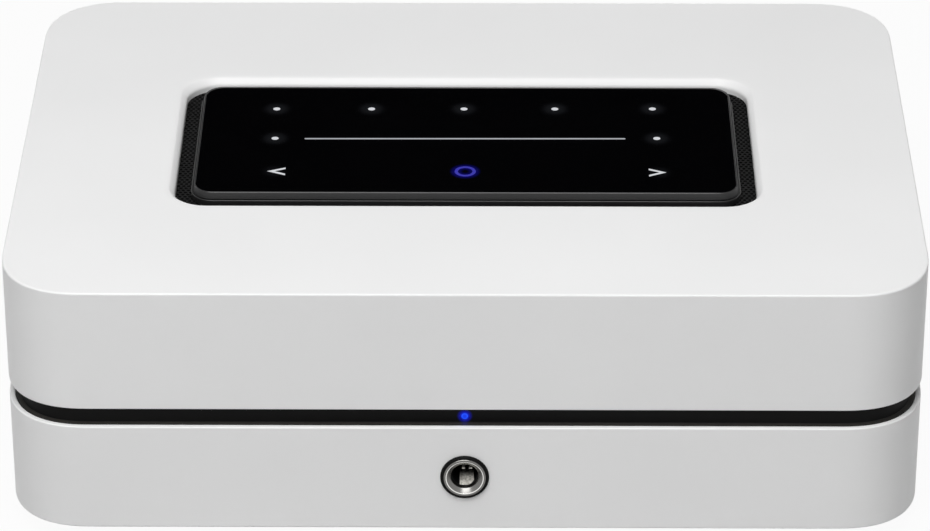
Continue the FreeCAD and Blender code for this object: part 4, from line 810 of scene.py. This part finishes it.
# Speaker terminals
# Two pairs of screw-down posts, each a gold-plated threaded tube in a black bush, with a washer and
# a fluted cap of glossy red or black ABS that runs out along the thread.
post_places = {"right_minus": 8.0, "right_plus": 27.0, "left_minus": 49.0, "left_plus": 68.0}
post_z = 22.5
base_start, base_end = (side.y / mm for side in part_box("post_bases"))
bush = [(3.3, base_start), (3.3, base_end), (5.9, base_end), (6.4, base_end - 0.2), (6.6, base_end - 0.7),
        (6.6, panel_face), (4.2, panel_face), (4.2, base_start)]
bushes = turned("post_bushes", tube_points, [(x, post_z) for x in post_places.values()], bush, True, 64)
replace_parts(dress(bushes, moulded), "post_bases")
# The thread is a band every 0.8 mm along the post, raised by 0.25 mm, with painted shade in its roots.
# A wave texture at a scale of 1 repeats every 0.314 m.
wave = 0.314
threaded_gold, tree, shader, place = new_material("gold_plated_thread", "#D9B56A", 0.24, Metallic=1.0)
rings = add(tree, "TexWave", {"Scale": wave / (0.8 * mm), "Distortion": 0.0}, {"Vector": place},
            bands_direction="Y").outputs["Fac"]
rise = add(tree, "Bump", {"Distance": 0.25 * mm, "Strength": 0.8}, {"Height": rings})
# The roots are painted darker than the crests: painted shade.
thread_tone_with_painted_shade = add(tree, "MixRGB", {"Color1": "#A97E38", "Color2": "#E6C47C"}, {"Fac": rings})
join(shader, {"Normal": rise, "Base Color": thread_tone_with_painted_shade})
finish(threaded_gold, "post_studs")
# Moulded ABS with a light gloss, deep red on the positive posts and black on the others.
cap_finish = {
    "plus": grained("red_abs", "#9A1218", 0.3, 0.4, 0.004, ("#8F0F15", "#A6181E"), 6, IOR=1.53),
    "minus": grained("black_abs", "#141415", 0.3, 0.4, 0.004, ("#111112", "#19191A"), 6, IOR=1.53)}


def fluted(x, radius, depth, y, flutes=12, count=144):
    """A circle whose radius dips by depth in rounded grooves between broad ridges."""
    turn = np.arange(count) * 2 * math.pi / count
    reach = radius - depth * np.abs(np.sin(flutes / 2 * turn)) ** 3
    return stood(np.column_stack((x + reach * np.cos(turn), post_z + reach * np.sin(turn))), y)


for post, x in post_places.items():
    start, end = (side.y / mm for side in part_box("cap_" + post))
    cap = [(3.05, 0, start), (5.3, 0, start), (5.8, 0.3, start + 0.2), (6.2, 0.5, start + 0.8),
           (6.2, 0.5, end - 4.4), (6.1, 0.45, end - 4.1), (5.6, 0, end - 3.9), (5.6, 0, end - 3.3),
           (6.1, 0.45, end - 3.1), (6.2, 0.5, end - 2.8), (6.2, 0.5, end - 0.9), (6.0, 0.35, end - 0.4),
           (5.5, 0.1, end - 0.05), (5.2, 0, end), (3.0, 0, end), (2.75, 0, end - 0.1), (2.6, 0, end - 0.4),
           (2.6, 0, end - 1.4), (3.05, 0, end - 1.4)]
    cap = several("fluted_cap_" + post, [[fluted(x, *p) for p in cap]], caps=False, closed=True)
    sign = post.split("_")[1]
    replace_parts(dress(cap, cap_finish[sign], "cap_" + post), "cap_" + post)
    near, far = (side.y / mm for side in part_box("washer_" + post))
    washer = [(3.3, near), (3.3, far), (4.8, far), (5.0, far - 0.2), (5.0, near + 0.2), (4.8, near)]
    washer = turned("gold_washer_" + post, tube_points, [(x, post_z)], washer, True, 64)
    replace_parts(dress(washer, gold, "washer_" + post), "washer_" + post)

# Tray, spacers and nuts
# A folded tray of zinc-plated steel carries the boards on turned brass spacers, and hexagon nuts
# clamp the terminals from inside.
softened("chassis_tray", 0.2, zinc, 60.0)
softened("post_nuts", 0.3, zinc)
brass = grained("turned_brass", "#B5965A", 0.3, 0.2, 0.002, ("#A98A50", "#C2A468"), 4, 2.0,
                (0.24, 0.36), Metallic=1.0)
finish(brass, "board_standoffs")

# Circuit boards
# Glass-epoxy boards 1.6 mm thick under a green solder mask, with small tinned pads. The copper
# tracks show through the mask as slightly paler lines.
board, tree, shader, place = new_material("solder_masked_board", "#0F3B22", 0.35, IOR=1.52)
winding = {"Scale": wave / (1.6 * mm), "Distortion": 6.0, "Detail": 1.0, "Detail Scale": 0.6}
tracks = add(tree, "TexWave", winding, {"Vector": place}, bands_direction="X").outputs["Fac"]
copper = add(tree, "ValToRGB", {}, {"Fac": tracks}, ((0.45, "#0C331D"), (0.6, "#1B5430")))
dots = add(tree, "TexVoronoi", {"Scale": 1 / (3.2 * mm), "Randomness": 0.7}, {"Vector": place})
pads = add(tree, "Math", {1: 0.14}, {0: dots}, operation="LESS_THAN")
tinned = add(tree, "MixRGB", {"Color2": "#B9BAB4"}, {"Fac": pads, "Color1": copper})
edge_of_pads = add(tree, "Bump", {"Distance": 0.05 * mm, "Strength": 0.6}, {"Height": pads})
join(shader, {"Base Color": tinned, "Normal": edge_of_pads})
finish(board, "touch_board", "status_board", "headphone_board", "power_board", "amp_board", "main_board",
       "antennas")

# Touch panel's light guides
# A black mask keeps the light of each sign apart, and clear acrylic pipes carry it up to the glass.
softened("light_mask", 0.15, moulded)
clear = grained("clear_acrylic", "#E8ECEE", 0.08, 0.6, 0.002, None, 4, 2.0, (0.05, 0.14), IOR=1.49,
                Transmission_Weight=0.9)
finish(clear, "light_pipes")

# Power board's parts
# A ferrite transformer wound with copper under yellow tape, two bulk capacitors in a printed sleeve
# with a scored aluminium end, and a glass fuse in two sprung clips.
low_corner, high_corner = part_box("mains_transformer")
core_half, bobbin_floor = 8.8, 3.0
wound, tree, shader, place = new_material("ferrite_and_taped_winding", "#3A3B3D", 0.6, IOR=1.6)
grain(tree, shader, place, 0.4, 0.02)


def from_middle(low, high):
    """How far a point lies in front of or behind the middle of a box, in metres."""
    moved = add(tree, "Mapping", {"Location": (0, -(low.y + high.y) / 2, 0)}, {"Vector": place})
    y = add(tree, "SeparateXYZ", {}, {"Vector": moved}).outputs["Y"]
    return add(tree, "Math", {}, {0: y}, operation="ABSOLUTE")


on_tape = add(tree, "Math", {1: (core_half + 0.1) * mm}, {0: from_middle(low_corner, high_corner)},
              operation="GREATER_THAN")
turns = add(tree, "TexWave", {"Scale": wave / (1.2 * mm), "Distortion": 0.4}, {"Vector": place},
            bands_direction="Z").outputs["Fac"]
tape = add(tree, "MixRGB", {"Color1": "#B98A1E", "Color2": "#D9AE3A"}, {"Fac": turns})
height = add(tree, "SeparateXYZ", {}, {"Vector": place}).outputs["Z"]
bobbin = add(tree, "Math", {1: low_corner.z + bobbin_floor * mm}, {0: height}, operation="LESS_THAN")
body = add(tree, "MixRGB", {"Color1": "#3A3B3D"}, {"Fac": on_tape, "Color2": tape})
whole = add(tree, "MixRGB", {"Color2": "#151516"}, {"Fac": bobbin, "Color1": body})
join(shader, {"Base Color": whole})
softened("mains_transformer", 0.4, wound)

can_low, can_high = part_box("bulk_capacitors")
can_base, can_top, can_radius = can_low.z / mm, can_high.z / mm, (can_high.y - can_low.y) / 2 / mm
can_y = (can_low.y + can_high.y) / 2 / mm
can = [(axis, can_base), (can_radius - 0.7, can_base), (can_radius - 0.1, can_base + 0.5),
       (can_radius, can_base + 1.2), (can_radius, can_base + 2.6), (can_radius - 0.5, can_base + 3.2),
       (can_radius - 0.5, can_base + 3.6), (can_radius, can_base + 4.2), (can_radius, can_top - 0.8),
       (can_radius - 0.4, can_top - 0.2), (can_radius - 1.0, can_top), (can_radius - 1.6, can_top - 0.3),
       (axis, can_top - 0.3)]
can_xs = [can_low.x / mm + can_radius, can_high.x / mm - can_radius]
cans = turned("capacitor_cans", level_circle, [(x, can_y) for x in can_xs], can, count=56)
sleeved, tree, shader, place = new_material("printed_sleeve_on_aluminium", "#1B2233", 0.35, IOR=1.5)
grain(tree, shader, place, 0.5, 0.01)
height = add(tree, "SeparateXYZ", {}, {"Vector": place}).outputs["Z"]
bare = add(tree, "Math", {1: (can_top - 0.4) * mm}, {0: height}, operation="GREATER_THAN")
sleeve_tone = add(tree, "MixRGB", {"Color1": "#1B2233", "Color2": "#B4B7BA"}, {"Fac": bare})
join(shader, {"Base Color": sleeve_tone, "Metallic": bare})
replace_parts(dress(cans, sleeved), "bulk_capacitors")

fuse, tree, shader, place = new_material("fuse_glass_between_caps", "#C9CCCC", 0.15, IOR=1.5)
capped = add(tree, "Math", {1: 5.5 * mm}, {0: from_middle(*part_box("mains_fuse"))}, operation="GREATER_THAN")
join(shader, {"Metallic": capped})
grain(tree, shader, place, 0.5, 0.002, ("#BFC3C3", "#D2D5D4"), 3)
softened("mains_fuse", 0.15, fuse)

# Amplifier board's parts
# Two black epoxy chips under a black anodised extrusion with fine die lines, four output coils in
# sintered ferrite shells, and the tinned steel can over the processor.
epoxy = grained("moulded_black_epoxy", "#17181A", 0.65, 0.15, 0.01, ("#131416", "#1D1E20"), 5, IOR=1.55)
softened("amp_chips", 0.25, epoxy)
anodised, tree, shader, place = new_material("black_anodised_aluminium", "#1A1B1D", 0.4, Metallic=0.6)
lines = add(tree, "Mapping", {"Scale": (1, 0.02, 1)}, {"Vector": place})
drawn = add(tree, "TexNoise", {"Scale": 1 / (0.3 * mm), "Detail": 2.0}, {"Vector": lines})
join(shader, {"Normal": add(tree, "Bump", {"Distance": 0.01 * mm, "Strength": 0.7}, {"Height": drawn})})
softened("heat_sink", 0.3, anodised, 60.0)
ferrite = grained("sintered_ferrite", "#2E2F31", 0.7, 0.5, 0.03, ("#27282A", "#38393B"), 4, IOR=1.6)
softened("output_coils", 0.5, ferrite)
tinned_plate = grained("tinned_steel_can", "#B3B5B4", 0.36, 0.7, 0.006, ("#A6A8A7", "#C2C4C3"), 9, 3.0,
                       (0.28, 0.46), Metallic=1.0)
softened("processor_shield", 0.4, tinned_plate)

# Leads and ribbon
# Leads in black PVC between the boards, and a white flat ribbon down from the touch panel, whose
# cores show through its polyester as a stripe every millimetre.
pvc = grained("black_pvc_insulation", "#141414", 0.45, 0.5, 0.01, ("#101010", "#1B1B1B"), 8, IOR=1.53)
finish(pvc, "antenna_leads", "board_leads")
ribbon, tree, shader, place = new_material("polyester_flat_ribbon", "#E2E4E2", 0.4, IOR=1.57)
cores = add(tree, "TexWave", {"Scale": wave / (1.0 * mm), "Distortion": 0.0}, {"Vector": place},
            bands_direction="X").outputs["Fac"]
stripes = add(tree, "MixRGB", {"Color1": "#C3C7C6", "Color2": "#EDEEEC"}, {"Fac": cores})
join(shader, {"Base Color": stripes})
finish(ribbon, "touch_ribbon")

# Studio
# A pale paper floor and a white room, as in a product photograph, with one strong softbox above and
# three weak ones behind. The glass mirrors a black card that shows in reflections only.
corners = np.array(((-1, -1), (1, -1), (1, 1), (-1, 1)))
floor_half, card_half, card_y, card_low, card_high = 3000, 800, 1200, 560, 2400
square = [(0, 1, 2, 3)]
floor = new_mesh("floor", laid(corners * floor_half, 0), square, False)
paper, tree, shader, place = new_material("white_paper", "#C6C6C6", 0.9)
grain(tree, shader, place, 3.0, 0.01)


def seen_directly(tree):
    """1 for rays from the camera, from glossy surfaces and through clear ones, and 0 for the rest."""
    path = add(tree, "LightPath").outputs
    pair = add(tree, "Math", {}, {0: path["Is Camera Ray"], 1: path["Is Glossy Ray"]}, operation="MAXIMUM")
    return add(tree, "Math", {}, {0: pair, 1: path["Is Transmission Ray"]}, operation="MAXIMUM")


share = add(tree, "Math", {1: 0.95}, {0: seen_directly(tree)}, operation="MULTIPLY")
white = add(tree, "Emission", {"Color": "#FFFFFF", "Strength": 1.0})
blend = add(tree, "MixShader", {}, {0: share, 1: shader, 2: white})
join(tree.nodes["Material Output"], {"Surface": blend})
floor.data.materials.append(paper)

middle, tall = (card_low + card_high) / 2, (card_high - card_low) / 2
card = new_mesh("black_card", stood(corners * (card_half, tall) + (0, middle), card_y), square, False)
felt = grained("black_felt", "#020202", 1.0, 3.0, 0.01, Specular_IOR_Level=0.0)
card.data.materials.append(felt)
card.visible_camera = card.visible_diffuse = card.visible_shadow = card.visible_transmission = False

world = bpy.data.worlds.new("studio")
bpy.context.scene.world = world
world.use_nodes = True
tree = world.node_tree
room = add(tree, "MixRGB", {"Color1": (0.05, 0.05, 0.05, 1), "Color2": "#FFFFFF"},
           {"Fac": seen_directly(tree)})
join(tree.nodes["Background"], {"Color": room})


def softbox(name, place, aim, size, power):
    """A square lamp that looks at a point."""
    lamp = bpy.data.objects.new(name, bpy.data.lights.new(name, "AREA"))
    lamp.data.size, lamp.data.energy = size, power
    lamp.location = place
    lamp.rotation_euler = (Vector(aim) - Vector(place)).to_track_quat("-Z", "Y").to_euler()
    bpy.context.scene.collection.objects.link(lamp)


softbox("lamp_above", (-0.12, -0.5, 1.0), (0, 0, 0.05), 0.8, 12.3)
softbox("lamp_left", (-1.3, 1.1, 0.7), (0, 0, 0.03), 0.9, 1.2)
softbox("lamp_right", (1.3, 1.1, 0.7), (0, 0, 0.03), 0.9, 2.0)
softbox("lamp_back", (0.3, 1.9, 1.0), (0, 0, 0.03), 1.2, 2.0)

bpy.context.scene.view_settings.view_transform = "Standard"
